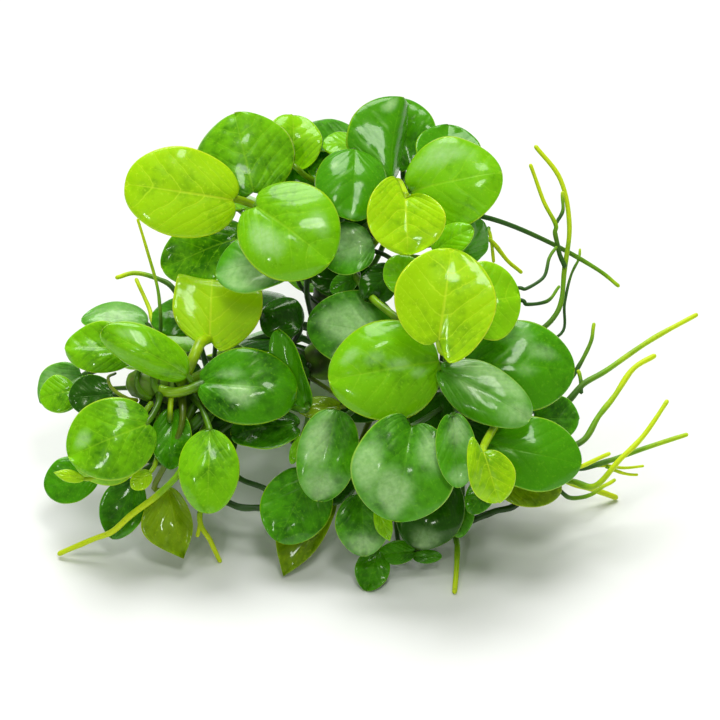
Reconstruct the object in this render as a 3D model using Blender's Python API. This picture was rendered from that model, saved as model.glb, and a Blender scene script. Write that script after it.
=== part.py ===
# A dwarf anubias as it was lifted from the water: small round leathery leaves on
# stalks, a creeping rhizome with three branches, and wiry roots.
# Spots are in millimetres on the plant's leaning face: across it, up its slope and
# out from it, as it is seen from the front and 40 degrees above.

import math

import bmesh
import bpy
from mathutils import Vector
from mathutils.bvhtree import BVHTree
from mathutils.kdtree import KDTree

MM = 0.001
PLANT = "anubias"
LEAN = math.radians(40.0)
MIDDLE = Vector((-1.0, -1.3, 21.85))

GAP = 0.3
BLADE_THICKNESS = 0.7
STALK_RADIUS = 0.6
STALK_FOOT_RADIUS = 0.8
YOUNG_STALK_RADIUS = 0.4
SPREAD = 1.0
KNOBBLE = 0.1
# How far along its stalk a leaf may be near its own blade, and from where near its branch.
OWN_SHARE = 0.4
FOOT_SHARE = 0.85

# Name, base of the blade, tip, width, degrees that its face looks up and right of
# the viewer, how far its edges rise, how far its middle arches.
LEAVES = [
    ("leaf_top_1", (-19.2, 24.2, 6), (-35, 27, 7), 13.5, 5, -10, -0.6, 1.2),
    ("leaf_top_2", (-15.5, 25.8, 2), (-26.5, 32.5, -1), 12, 25, 0, -1.2, 1.0),
    ("leaf_top_3", (-10, 29.8, 0), (-10.3, 37.1, -3), 8.5, 20, 10, 0.4, 0.6),
    ("leaf_top_4", (-1.5, 34.6, -8.5), (-9.2, 36.2, -7.5), 8.5, 68, 0, 0.3, 0.4),
    ("leaf_top_5", (-15.3, 22.8, 12.5), (-5, 14.5, 15), 13.5, 10, 0, -0.8, 1.4),
    ("leaf_top_6", (-0.8, 31.4, 4.5), (-1.5, 20.7, 9), 11, 5, 10, -0.8, 1.0),
    ("leaf_top_7", (4.4, 28.2, 0.5), (5.3, 39.6, -1), 9.5, 5, 25, 2.0, 0.3),
    ("leaf_top_8", (6.4, 31, -6), (5.8, 40, -9), 9, 25, 0, 0.5, 0.8),
    ("leaf_top_9", (13, 27, 3.5), (13.2, 35.3, 0), 10, 30, 10, 0.4, 0.8),
    ("leaf_top_10", (7, 25.5, 9.5), (21, 27.3, 10.5), 13.6, 15, 5, -0.6, 1.0),
    ("leaf_top_11", (6.3, 23.9, 17), (7, 15.2, 19.5), 11.4, 5, 0, 0.8, 0.8),
    ("leaf_left_1", (-10.2, 16, 9), (-21.3, 12, 8), 9, 30, 0, 0.4, 0.6),
    ("leaf_left_2", (-19.5, 17.5, 1), (-29.5, 13.8, 0), 9.5, 15, -10, -0.4, 0.8),
    ("leaf_left_3", (-22.3, 3.2, 5), (-21.3, 12, 2.5), 13.6, 10, 0, 0.6, 0.6),
    ("leaf_left_4", (-25.8, -0.6, 11), (-37.8, 2.6, 12), 8.5, 0, -15, -1.0, 1.4),
    ("leaf_left_5", (-32.5, 6, -6), (-42, 7, -7), 8, 65, 0, 0.3, 0.5),
    ("leaf_left_6", (-34, 0.8, 2.5), (-44, 1.6, 1), 7.8, 10, -15, -0.4, 0.8),
    ("leaf_left_7", (-42.6, -2.5, -3), (-48.2, -7.6, -4), 6.5, 10, -20, 0.3, 0.4),
    ("leaf_left_8", (-36.8, -5, 5), (-43.3, -5.8, 4.5), 6.4, 10, -10, 0.3, 0.4),
    ("leaf_left_9", (-31.5, -9.4, 13), (-42.6, -14.6, 13.5), 12, 0, -10, -0.8, 1.2),
    ("leaf_left_10", (-33, -12, 8.5), (-42.4, -15.2, 8.5), 10.5, 0, -10, -0.4, 0.6),
    ("leaf_left_11", (-39.5, -17, 3.5), (-47.3, -19, 3), 7.4, 15, -20, 0.3, 0.6),
    ("leaf_left_12", (-33.8, -17.8, 4.5), (-37.5, -26.6, 3.5), 7, 10, -10, 0.3, 0.6),
    ("leaf_left_13", (-30.8, -19.8, 6), (-26.4, -29.4, 5.5), 6.2, 10, 0, 0.4, 0.6),
    ("leaf_left_14", (-28, -8.5, 4.2), (-28.5, -17, 4.6), 5.6, 0, -5, 0.3, 0.5),
    ("leaf_left_15", (-22, -10.1, 13), (-22.3, -22.5, 14), 9.2, 0, 0, -0.6, 1.2),
    ("leaf_left_16", (-23.4, -3.6, 9.5), (-9.7, -5, 10.5), 11.6, 10, 10, -0.8, 1.2),
    ("leaf_middle_1", (2, 17.2, 6.5), (-5.8, 15.2, 6.5), 8.2, 15, -5, 0.4, 0.6),
    ("leaf_middle_2", (1.6, 2, 8), (-7.7, 6.4, 7.5), 9.4, 15, -10, 0.4, 0.7),
    ("leaf_middle_3", (-9, 5, 1.5), (-15, 7.6, 1), 6.6, 20, -10, 0.3, 0.4),
    ("leaf_middle_4", (-8.3, -7, 13.5), (-12.3, 4.6, 14.5), 5.4, 10, -30, 1.0, 0.4),
    ("leaf_middle_5", (11.3, -0.4, 14), (-4.4, -3.2, 16.5), 15, 5, -5, -0.8, 1.4),
    ("leaf_middle_6", (-10, -10.6, 7), (-18, -12, 6), 6, 45, 0, 0.3, 0.5),
    ("leaf_right_1", (14.6, 15, 7.5), (18.1, 20.8, 7), 6.6, 20, 55, 0.3, 0.4),
    ("leaf_right_2", (11.6, 1, 21), (13.4, 16.3, 20), 14.8, 10, 5, 0.9, 0.8),
    ("leaf_right_3", (14.8, 8, 14.5), (23.9, 9.6, 14), 12, 5, 10, -0.4, 0.6),
    ("leaf_right_4", (16, -0.6, 10.5), (31.7, -1.6, 10), 13.6, 10, 10, -0.8, 1.2),
    ("leaf_right_5", (11.8, -1.4, 16), (25.5, -8.6, 16.5), 8, 5, 5, -0.6, 1.0),
    ("leaf_right_6", (19, -12.4, 12.5), (32.6, -15.4, 11.5), 11, 5, 5, -0.6, 1.0),
    ("leaf_right_7", (20, -17.8, 6.5), (30, -19.2, 6), 7, 5, 5, 0.3, 0.5),
    ("leaf_front_1", (7.3, -9.4, 19), (5, -23.3, 18.5), 15.4, 5, 0, 0.9, 1.0),
    ("leaf_front_2", (-2.6, -9, 13.5), (-7.8, -20.9, 12), 9, 5, -5, 0.5, 0.8),
    ("leaf_front_3", (-7, -17.5, 8), (-12.3, -27.2, 8.5), 9.6, 5, -5, -0.5, 0.8),
    ("leaf_front_4", (-4, -21.4, 4), (-11.4, -32.2, 5.2), 8, 5, -5, 0.3, 0.6),
    ("leaf_front_5", (0.2, -20.5, 9.5), (0.6, -29, 9.5), 8, 5, 0, 0.4, 0.6),
    ("leaf_front_6", (11.2, -18.4, 6.5), (8, -28, 7), 9.8, 5, 5, -0.5, 0.8),
    ("leaf_front_7", (2.6, -28.4, 5.1), (1, -34.3, 7.0), 5.6, 5, 0, 0.3, 0.4),
    ("leaf_front_8", (13.4, -8.2, 21.5), (14.3, -18.5, 20.8), 6, 5, 5, 0.4, 0.5),
    ("leaf_front_9", (17.5, -12.7, 24.6), (20, -20.6, 24), 7, 5, 5, 0.6, 0.5),
    ("leaf_back_1", (-18, 15, -8), (-27, 17, -20), 12, 80, -10, -0.4, 1.2),
    ("leaf_back_2", (-9, 20, -8), (-13, 24, -22), 13, 75, 0, -0.4, 1.2),
    ("leaf_back_3", (5, 23, -9), (7, 26.5, -23), 13, 75, 0, -0.4, 1.2),
    ("leaf_back_4", (-14, 7, -14), (-22, 9, -27), 13, 60, 0, -0.4, 1.2),
    ("leaf_back_5", (9, 8, -14), (15, 11, -28), 13, 60, 0, -0.4, 1.2),
    ("leaf_back_6", (17, 0, -9), (26.5, -0.5, -21), 11, 60, 20, -0.4, 1.0),
    ("leaf_back_7", (-26, 1, -7), (-36, 0.5, -18), 11, 60, -20, -0.4, 1.0),
]

# Young leaves that have grown from a branch of the rhizome: the branch, base of the
# blade, tip, width, the looks up and right, and the spot where the stalk is rooted.
YOUNG_LEAVES = [
    ("rhizome_top_branch", (0.2, 33.0, -3), (-5.4, 32.8, -2.5), 5, 45, 0, (0.0, 23, -3.3)),
    ("rhizome_left_branch", (-42.8, -4.2, 1), (-47.8, -5.8, 0.5), 5.6, 10, -10, (-32, -4, 5)),
    ("rhizome_left_branch", (-31, -16.6, 10), (-33.7, -18.9, 10), 2.8, 0, 0, (-30, -6, 6)),
    ("rhizome_top_branch", (4.4, 15.6, 9.5), (0.2, 9.4, 10.5), 5.6, 10, 0, (-2.6, 18.2, -4.3)),
    ("rhizome_right_branch", (8.2, 10.5, 13.5), (4.2, 14.8, 14), 6, 10, -10, (8, -3, -5)),
    ("rhizome_left_branch", (-3, -6.9, 7), (-9.4, -6.9, 7), 2.8, 10, 0, (-10, -1, -8)),
    ("rhizome_top_branch", (10.8, 16, 12.5), (16.6, 19.4, 13.5), 5, 25, 0, (-1, 21, -3.7)),
    ("rhizome_right_branch", (26, -8.6, 5), (32.7, -8.8, 4), 7, 10, 20, (20, -8, 1)),
    ("rhizome_old_stem", (-4.5, 11, -20), (-6.5, 14, -32), 12, 70, 0, (-3.6, 0.8, -17)),
    ("rhizome_old_stem", (-10, 2.6, -24), (-18.5, 3.4, -32), 9, 65, -10, (-2.4, 1.2, -21)),
    ("rhizome_top_branch", (12, 18.5, -8), (14, 21, -20), 10.5, 70, 10, (-1.8, 19.6, -4)),
    ("rhizome_top_branch", (-18, 23, -7), (-24.5, 25.5, -18), 11, 70, 0, (-3.2, 16.2, -4.8)),
]

# Each branch: its radius and the spots along its middle.
BRANCHES = {
    "rhizome_old_stem": (2.7, [(1, 2.2, -31), (-1.5, 1.5, -24), (-4, 0.6, -16), (-6, 0, -9)]),
    "rhizome_left_branch": (2.3, [(-9.2, -0.4, -9), (-16, -2.4, -3), (-24, -5, 3.5), (-32, -3.6, 6.5)]),
    "rhizome_right_branch": (2.3, [(-2.9, -0.5, -9), (5, -2.6, -6), (14, -5.5, -2), (24, -11, 3.5)]),
    "rhizome_top_branch": (2.1, [(-6, 3.2, -9), (-5, 10, -7), (-3, 17, -4.5), (0.8, 25, -3)]),
}

# Each root: the branch that it grew from, its thickness there and at its tip, and
# its spots, the first of them inside the branch.
ROOTS = [
    ("rhizome_left_branch", 1.1, 0.8, [(-20, -4, 1), (-23, -10, 7), (-26.5, -16.5, 10.3),
        (-30, -20, 9.3), (-34, -23, 8), (-37, -25.5, 6.3), (-40.5, -27, 4), (-44.8, -28.9, 1.8)]),
    ("rhizome_left_branch", 1.0, 0.7, [(-18, -3, -2), (-21, -14, 3), (-23.8, -23, 5),
        (-22.3, -27, 4), (-21, -30, 2.1)]),
    ("rhizome_left_branch", 0.7, 0.5, [(-25.4, -4.9, 3.9), (-29.5, 1, -1.5), (-30, 7, -1), (-30.5, 11, -2),
        (-32, 16.5, -2), (-33.4, 21, -2)]),
    ("rhizome_left_branch", 0.9, 0.7, [(-22, -4.4, 2), (-25, 5, -3), (-28, 10.5, -4),
        (-30.5, 12.3, -5), (-34, 13.1, -6), (-36.7, 12.6, -6)]),
    ("rhizome_right_branch", 1.0, 0.8, [(8, -3.5, -5), (13, -18, -2), (14.3, -26.3, 2.4),
        (14.5, -28.5, 4), (14, -34.2, 7.4)]),
    ("rhizome_right_branch", 1.2, 0.7, [(20, -8.6, 1.4), (26, -7.5, 1.5), (30.2, -6.9, 1.5),
        (33.5, -3.6, 1), (37.2, -1.4, 0), (43.7, 3, -2), (50.7, 6.7, -4)]),
    ("rhizome_right_branch", 0.8, 0.6, [(16, -6.4, -1.5), (26, -4.4, -2.5), (31, -3.5, -3),
        (33, -1, -3.5), (34.8, 2.5, -4), (35.3, 5.3, -4.5)]),
    ("rhizome_right_branch", 1.0, 0.8, [(21.5, -9.6, 2.2), (28.5, -13, 7.6), (32.9, -12, 8.2),
        (35.4, -8.4, 7), (37.8, -5.4, 6), (40.6, -1.4, 5), (43.7, 0.6, 4)]),
    ("rhizome_right_branch", 1.1, 0.7, [(21.2, -9.5, 1.9), (27, -16.5, 2.6), (31.7, -18, 5),
        (34.8, -18.6, 6.5), (38.5, -14.9, 7), (42.1, -11.2, 6), (45.6, -6.2, 5)]),
    ("rhizome_right_branch", 1.0, 0.7, [(21, -9, 1), (28, -15, 1), (32.6, -16.1, 2), (36.6, -15.2, 2.5),
        (40.9, -13.8, 2.5), (48.7, -11.2, 2)]),
    ("rhizome_right_branch", 1.3, 0.9, [(18, -7.4, -1), (26, -15, -2), (31.7, -18.4, -4),
        (35.1, -19.5, -6), (38.8, -20.8, -8.1)]),
    ("rhizome_right_branch", 0.9, 0.7, [(12, -5, -3.5), (21, 3, 0), (26, 4, 1), (29.8, 7.5, 0.5),
        (30.7, 13.5, 0), (31.4, 20, 0), (30.2, 27, 0), (26.4, 31.9, 0)]),
    ("rhizome_top_branch", 0.9, 0.6, [(-1, 21.5, -4), (9, 22, 1), (18.3, 21.5, 2), (28, 18, -3),
        (36, 13.7, -4.5), (39, 11.3, -4.5)]),
    ("rhizome_old_stem", 1.2, 0.8, [(-3, 1, -20), (-12, 4, -25), (-20, 2, -30), (-24, 0.4, -34)]),
    ("rhizome_old_stem", 1.2, 0.8, [(-3, 1, -19), (8, 4, -25), (16, 4, -30), (21, 1.8, -35.4)]),
]

BLADE_STEPS = (0.96, 0.84, 0.63, 0.39, 0.17, 0.03)
YOUNG_BLADE_STEPS = (0.92, 0.6, 0.2, 0.02)
STALK_STEPS = (0.14, 0.4, 0.7, 1.0)

BLADE_COLOURS = ((0.18, 0.42, 0.02, 1.0), (0.09, 0.28, 0.02, 1.0), (0.30, 0.56, 0.02, 1.0))
RHIZOME_COLOUR = (0.16, 0.20, 0.05, 1.0)


def turn(spot):
    """World direction of a direction given across, up and out of the leaning face."""
    across, up, out = spot
    back = up * math.sin(LEAN) - out * math.cos(LEAN)
    height = up * math.cos(LEAN) + out * math.sin(LEAN)
    return Vector((across, back, height))


def place(spot):
    """World place, in millimetres, of a spot on the leaning face."""
    return MIDDLE + turn(spot)


def smooth_path(points, steps):
    """A rounded path through the points, with so many steps in each stretch."""
    ends = [points[0] * 2 - points[1], *points, points[-1] * 2 - points[-2]]
    path = []
    for before, start, stop, after in zip(ends, ends[1:], ends[2:], ends[3:]):
        for step in range(steps):
            t = step / steps
            bend = start * 2 + (stop - before) * t
            bend += (before * 2 - start * 5 + stop * 4 - after) * t * t
            bend += (start * 3 - before - stop * 3 + after) * t * t * t
            path.append(bend / 2)
    path.append(points[-1].copy())
    return path


def material(name, colour, roughness):
    made = bpy.data.materials.new(name)
    made.use_nodes = True
    shader = made.node_tree.nodes["Principled BSDF"]
    shader.inputs["Base Color"].default_value = colour
    shader.inputs["Roughness"].default_value = roughness
    shader.inputs["Metallic"].default_value = 0.0
    return made


def mesh_object(name, bm, look, home):
    """An object of the built mesh, in metres, faces out, in the home collection."""
    bmesh.ops.scale(bm, vec=(MM, MM, MM), verts=bm.verts)
    bmesh.ops.recalc_face_normals(bm, faces=bm.faces)
    mesh = bpy.data.meshes.new(name)
    bm.to_mesh(mesh)
    bm.free()
    mesh.materials.append(look)
    mesh.shade_smooth()
    made = bpy.data.objects.new(name, mesh)
    home.objects.link(made)
    return made


def tube_object(name, path, radii, sides_step, look, home):
    """A mesh tube with flat closed ends along a path, with a radius at each point."""
    curve = bpy.data.curves.new(name, "CURVE")
    curve.dimensions = "3D"
    curve.bevel_depth = MM
    curve.bevel_resolution = sides_step
    curve.use_fill_caps = True
    spline = curve.splines.new("POLY")
    spline.points.add(len(path) - 1)
    for point, spot, radius in zip(spline.points, path, radii):
        point.co = (*(spot * MM), 1.0)
        point.radius = radius
    wire = bpy.data.objects.new(name + "_wire", curve)
    bpy.context.scene.collection.objects.link(wire)
    drawn = wire.evaluated_get(bpy.context.evaluated_depsgraph_get())
    solid = bpy.data.meshes.new_from_object(drawn)
    bm = bmesh.new()
    bm.from_mesh(solid)
    bmesh.ops.remove_doubles(bm, verts=bm.verts, dist=0.00002)
    bmesh.ops.recalc_face_normals(bm, faces=bm.faces)
    bm.to_mesh(solid)
    bm.free()
    bpy.data.objects.remove(wire)
    solid.materials.clear()
    solid.materials.append(look)
    solid.shade_smooth()
    made = bpy.data.objects.new(name, solid)
    home.objects.link(made)
    return made


def outline(step):
    """Half width of a round blade, from 0 to 1, at a step from its base to its tip."""
    return math.sin(math.pi * step**0.92) ** 0.46


class Blade:
    """Where a leaf's blade lies, and its cross-sections."""

    def __init__(self, base, tip, width, look_up, look_right, cup, arch):
        self.base = place(base)
        self.tip = place(tip)
        self.length = (self.tip - self.base).length
        self.along = (self.tip - self.base).normalized()
        up, right = math.radians(look_up), math.radians(look_right)
        facing = turn((math.sin(right) * math.cos(up), math.sin(up), math.cos(right) * math.cos(up)))
        self.normal = (facing - self.along * facing.dot(self.along)).normalized()
        self.across = self.along.cross(self.normal)
        self.half_width = width / 2
        self.cup = cup
        self.arch = arch

    def middle(self, step):
        rise = self.arch * 4 * step * (1 - step)
        return self.base + self.along * (self.length * step) + self.normal * rise

    def ring(self, step):
        """Six points round the blade: left edge, two above, right edge, two below."""
        broad = outline(step)
        middle = self.middle(step)
        thick = BLADE_THICKNESS / 2 * min(1.0, broad * 1.3)
        side = self.across * self.half_width * broad
        edge = self.normal * self.cup * broad
        above = edge / 4 + self.normal * thick
        below = edge / 4 - self.normal * thick
        return [
            middle - side + edge,
            middle - side / 2 + above,
            middle + side / 2 + above,
            middle + side + edge,
            middle + side / 2 + below,
            middle - side / 2 + below,
        ]


def stalk_ring(middle, toward_blade, across, radius):
    """Six points round a stalk, in the order of the blade's own ring."""
    side = (across - toward_blade * across.dot(toward_blade)).normalized()
    up = side.cross(toward_blade)
    ring = []
    for corner in range(6):
        angle = math.pi - corner * math.pi / 3
        ring.append(middle + side * (radius * math.cos(angle)) + up * (radius * math.sin(angle)))
    return ring


def leaf_mesh(blade, steps, path, radii):
    """One closed mesh of a blade and its stalk, from the tip back to the foot."""
    rings = [blade.ring(step) for step in steps]
    before = blade.middle(steps[-1])
    for index, (spot, radius) in enumerate(zip(path, radii)):
        after = path[index + 1] if index + 1 < len(path) else spot * 2 - before
        toward_blade = (before - after).normalized()
        rings.append(stalk_ring(spot, toward_blade, blade.across, radius))
        before = spot
    bm = bmesh.new()
    loops = [[bm.verts.new(corner) for corner in ring] for ring in rings]
    tip = bm.verts.new(blade.tip)
    for index in range(6):
        bm.faces.new((tip, loops[0][index], loops[0][(index + 1) % 6]))
    for near, far in zip(loops, loops[1:]):
        for index in range(6):
            following = (index + 1) % 6
            bm.faces.new((near[index], far[index], far[following], near[following]))
    bm.faces.new(loops[-1])
    return bm


def bezier(start, lead, draw, end, t):
    s = 1 - t
    return start * s**3 + lead * (3 * s * s * t) + draw * (3 * s * t * t) + end * t**3


class Thicket:
    """What the stalks have to grow between: blades, branches, roots and stalks."""

    def __init__(self, blades, branch_paths, root_paths):
        corners, faces, self.owners = [], [], []
        for owner, blade in enumerate(blades):
            rings = [blade.ring(step) for step in BLADE_STEPS] + [[blade.tip] * 6]
            rings.insert(0, rings.pop())
            for near, far in zip(rings, rings[1:]):
                for index in range(6):
                    following = (index + 1) % 6
                    first = len(corners)
                    corners += [near[index], far[index], far[following], near[following]]
                    faces.append((first, first + 1, first + 2, first + 3))
                    self.owners.append(owner)
        self.tree = BVHTree.FromPolygons(corners, faces)
        self.beads = []
        for path, radius in branch_paths:
            for spot in smooth_path(path, 8):
                self.beads.append((spot, radius * (1 + KNOBBLE), "branch"))
        for path, radius in root_paths:
            for spot in smooth_path(path, 8):
                self.beads.append((spot, radius, "root"))
        self.sort_beads()

    def sort_beads(self):
        self.near = KDTree(len(self.beads))
        for index, (spot, radius, kind) in enumerate(self.beads):
            self.near.insert(spot, index)
        self.near.balance()
        self.largest = max(radius for spot, radius, kind in self.beads)

    def add_stalk(self, path, radius):
        """The stalk fills its way, and more of it where it spreads into the blade."""
        for piece, (start, stop) in enumerate(zip(path, path[1:])):
            for step in range(4):
                spread = SPREAD * (1 - step / 4) if piece == 0 else 0.0
                self.beads.append((start.lerp(stop, step / 4), radius + spread, "stalk"))
        self.sort_beads()

    def crossings(self, owner, path, radius):
        """How many places on the path come too near to something."""
        found = 0
        count = len(path) - 1
        for piece, (start, stop) in enumerate(zip(path, path[1:])):
            for step in range(1, 5):
                spot = start.lerp(stop, step / 4)
                share = (piece + step / 4) / count
                if spot.z < radius + GAP:
                    found += 1
                for _, _, index, _ in self.tree.find_nearest_range(spot, radius + GAP + 0.1):
                    if self.owners[index] != owner or share > OWN_SHARE:
                        found += 1
                        break
                for _, index, distance in self.near.find_range(spot, self.largest + radius + GAP):
                    _, bead_radius, kind = self.beads[index]
                    if kind == "branch" and share > FOOT_SHARE:
                        continue
                    if distance < bead_radius + radius + GAP:
                        found += 1
                        break
        return found


def find_stalk(owner, blade, thicket, feet, taken):
    """The straightest clear way for a stalk from a blade's base to a branch."""
    start = blade.middle(BLADE_STEPS[-1]) - blade.along * 0.2
    choices = []
    for foot, outward in feet:
        if outward.z < -0.3:
            continue
        if any((foot - other).length < 2 * STALK_FOOT_RADIUS + GAP for other in taken):
            continue
        choices.append(((foot + outward * 5 - start).length, foot, outward))
    choices.sort(key=lambda choice: choice[0])
    best = None
    for reach, foot, outward in choices[:70]:
        for drop in (50, 80, 105, 20):
            angle = math.radians(drop)
            leaving = -blade.along * math.cos(angle) - blade.normal * math.sin(angle)
            for lead_share in (0.3, 0.5):
                for draw_share in (0.35, 0.6):
                    lead = start + leaving * reach * lead_share
                    draw = foot + outward * max(3.0, reach * draw_share)
                    path = [bezier(start, lead, draw, foot, step) for step in STALK_STEPS]
                    found = thicket.crossings(owner, [start] + path, STALK_RADIUS)
                    if best is None or found < best[0]:
                        best = (found, path, foot)
                    if found == 0:
                        return best
    return best


def branch_feet():
    """Places on the branches' sides where a stalk may stand, with the way out."""
    feet = []
    for radius, spots in BRANCHES.values():
        path = smooth_path([place(spot) for spot in spots], 5)
        for before, spot, after in zip(path, path[1:], path[2:]):
            ahead = (after - before).normalized()
            side = ahead.orthogonal().normalized()
            up = ahead.cross(side)
            for index in range(10):
                angle = index * math.tau / 10
                outward = side * math.cos(angle) + up * math.sin(angle)
                feet.append((spot + outward * (radius * (1 + KNOBBLE) + GAP + 0.3), outward))
    return feet


def young_leaf_path(blade, root_spot):
    start = blade.middle(BLADE_STEPS[-1])
    end = place(root_spot)
    reach = (end - start).length
    lead = start - blade.along * (reach * 0.4) - blade.normal * (reach * 0.1)
    draw = end.lerp(start, 0.3)
    return [bezier(start, lead, draw, end, step) for step in (0.15, 0.4, 0.7, 1.0)]


def main():
    for old in list(bpy.data.objects):
        bpy.data.objects.remove(old)
    plant = bpy.data.collections.new(PLANT)
    grown = bpy.data.collections.new("grown_from_branches")
    bpy.context.scene.collection.children.link(plant)
    bpy.context.scene.collection.children.link(grown)
    greens = [material(f"blade_{index}", colour, 0.25) for index, colour in enumerate(BLADE_COLOURS)]
    bark = material("rhizome", RHIZOME_COLOUR, 0.6)

    for branch, (radius, spots) in BRANCHES.items():
        path = smooth_path([place(spot) for spot in spots], 3)
        radii = [radius * (1.0 + KNOBBLE * math.cos(index * 2.4)) for index in range(len(path))]
        stem = tube_object(branch, path, radii, 2, bark, plant)
        offshoots = bpy.data.collections.new(branch + "_offshoots")
        offshoots.hide_render = True
        grown.children.link(offshoots)
        union = stem.modifiers.new("offshoots", "BOOLEAN")
        union.operation = "UNION"
        union.operand_type = "COLLECTION"
        union.collection = offshoots
        union.use_self = True

    for number, (branch, thick, thin, spots) in enumerate(ROOTS):
        path = smooth_path([place(spot) for spot in spots], 2 if len(spots) < 5 else 1)
        radii = [(thick + (thin - thick) * index / (len(path) - 1)) / 2 for index in range(len(path))]
        home = bpy.data.collections[branch + "_offshoots"]
        root = tube_object(f"root_{number + 1}", path, radii, 1, bark, home)
        root.hide_render = True
        root.display_type = "WIRE"

    young_blades = []
    for number, (branch, base, tip, width, look_up, look_right, rooted) in enumerate(YOUNG_LEAVES):
        blade = Blade(base, tip, width, look_up, look_right, 0.2, 0.4)
        path = young_leaf_path(blade, rooted)
        radii = [YOUNG_STALK_RADIUS] * len(path)
        bm = leaf_mesh(blade, YOUNG_BLADE_STEPS, path, radii)
        home = bpy.data.collections[branch + "_offshoots"]
        young = mesh_object(f"young_{number + 1}", bm, greens[0], home)
        young.hide_render = True
        young.display_type = "WIRE"
        young_blades.append((blade, path))

    blades = [Blade(*row[1:]) for row in LEAVES]
    every_blade = blades + [blade for blade, path in young_blades]
    branch_paths = [([place(spot) for spot in spots], radius) for radius, spots in BRANCHES.values()]
    root_paths = [([place(spot) for spot in spots], thick / 2) for branch, thick, thin, spots in ROOTS]
    thicket = Thicket(every_blade, branch_paths, root_paths)
    for blade, path in young_blades:
        thicket.add_stalk([blade.middle(BLADE_STEPS[-1])] + path, YOUNG_STALK_RADIUS)
    feet = branch_feet()
    taken = []
    for owner, (row, blade) in enumerate(zip(LEAVES, blades)):
        found, path, foot = find_stalk(owner, blade, thicket, feet, taken)
        if found:
            print("crowded stalk", row[0], found)
        taken.append(foot)
        thicket.add_stalk([blade.middle(BLADE_STEPS[-1])] + path, STALK_RADIUS)
        radii = [STALK_RADIUS] * (len(path) - 1) + [STALK_FOOT_RADIUS]
        mesh_object(row[0], leaf_mesh(blade, BLADE_STEPS, path, radii), greens[owner % 3], plant)


main()
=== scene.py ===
import math
import random

import bmesh
import bpy
from mathutils import Matrix, Vector, noise


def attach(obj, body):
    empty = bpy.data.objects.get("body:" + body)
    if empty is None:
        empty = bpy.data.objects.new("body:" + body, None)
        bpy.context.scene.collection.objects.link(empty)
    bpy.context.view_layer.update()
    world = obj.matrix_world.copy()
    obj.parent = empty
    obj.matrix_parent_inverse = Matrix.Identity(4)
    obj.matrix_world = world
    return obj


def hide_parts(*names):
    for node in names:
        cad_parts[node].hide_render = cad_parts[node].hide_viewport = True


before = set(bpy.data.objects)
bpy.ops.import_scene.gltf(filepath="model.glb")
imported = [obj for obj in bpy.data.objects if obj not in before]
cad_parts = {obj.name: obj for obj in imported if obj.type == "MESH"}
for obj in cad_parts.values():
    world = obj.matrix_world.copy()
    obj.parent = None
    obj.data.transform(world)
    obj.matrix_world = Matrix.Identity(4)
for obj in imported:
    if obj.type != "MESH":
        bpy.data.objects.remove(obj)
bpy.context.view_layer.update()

mm = 0.001

# the plant's leaning face: spots on it are in mm across, up its slope and out of it
plantSettings = {
    "lean": math.radians(40),
    "middle": Vector((-1.0, -1.3, 21.85)),
}

cameraSettings = {
    "distance": 0.6,
    "lens": 200,
    "sensor": 36,
}


def turned(across, up, out):
    lean = plantSettings["lean"]
    back = up * math.sin(lean) - out * math.cos(lean)
    height = up * math.cos(lean) + out * math.sin(lean)
    return Vector((across, back, height))


def placed(spot):
    return (plantSettings["middle"] + turned(*spot)) * mm


def smoothPath(points, steps):
    ends = [points[0] * 2 - points[1], *points, points[-1] * 2 - points[-2]]
    path = []
    for before, start, stop, after in zip(ends, ends[1:], ends[2:], ends[3:]):
        for step in range(steps):
            t = step / steps
            bend = start * 2 + (stop - before) * t
            bend += (before * 2 - start * 5 + stop * 4 - after) * t * t
            bend += (start * 3 - before - stop * 3 + after) * t * t * t
            path.append(bend / 2)
    path.append(points[-1].copy())
    return path


def smoothValues(values, steps):
    spread = smoothPath([Vector((value, 0, 0)) for value in values], steps)
    return [spot.x for spot in spread]


def bezier(start, lead, draw, end, t):
    s = 1 - t
    return start * s**3 + lead * (3 * s * s * t) + draw * (3 * s * t * t) + end * t**3


def makeCamera():
    data = bpy.data.cameras.new("camera")
    data.lens = cameraSettings["lens"]
    data.sensor_width = cameraSettings["sensor"]
    data.clip_start = 0.01
    data.clip_end = 20
    camera = bpy.data.objects.new("camera", data)
    bpy.context.scene.collection.objects.link(camera)
    outward = turned(0, 0, 1)
    camera.location = plantSettings["middle"] * mm + outward * cameraSettings["distance"]
    camera.rotation_euler = (-outward).to_track_quat("-Z", "Y").to_euler()
    bpy.context.scene.camera = camera


lightSettings = {
    "world": ((0.95, 1.0, 0.84), 0.22),
    # the soft key light comes over the plant from behind: where from, width in degrees, strength
    "key": ((-0.08, 0.42, 0.90), 38, 2.8),
    # panels: place, size, watts, colour, all turned to the plant
    "panels": {
        "top panel": ((0.05, -0.22, 0.60), 0.14, 0.8, (0.97, 1.0, 0.94)),
        "front panel": ((-0.19, -0.50, 0.36), 0.06, 0.3, (0.95, 1.0, 0.94)),
    },
}


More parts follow.
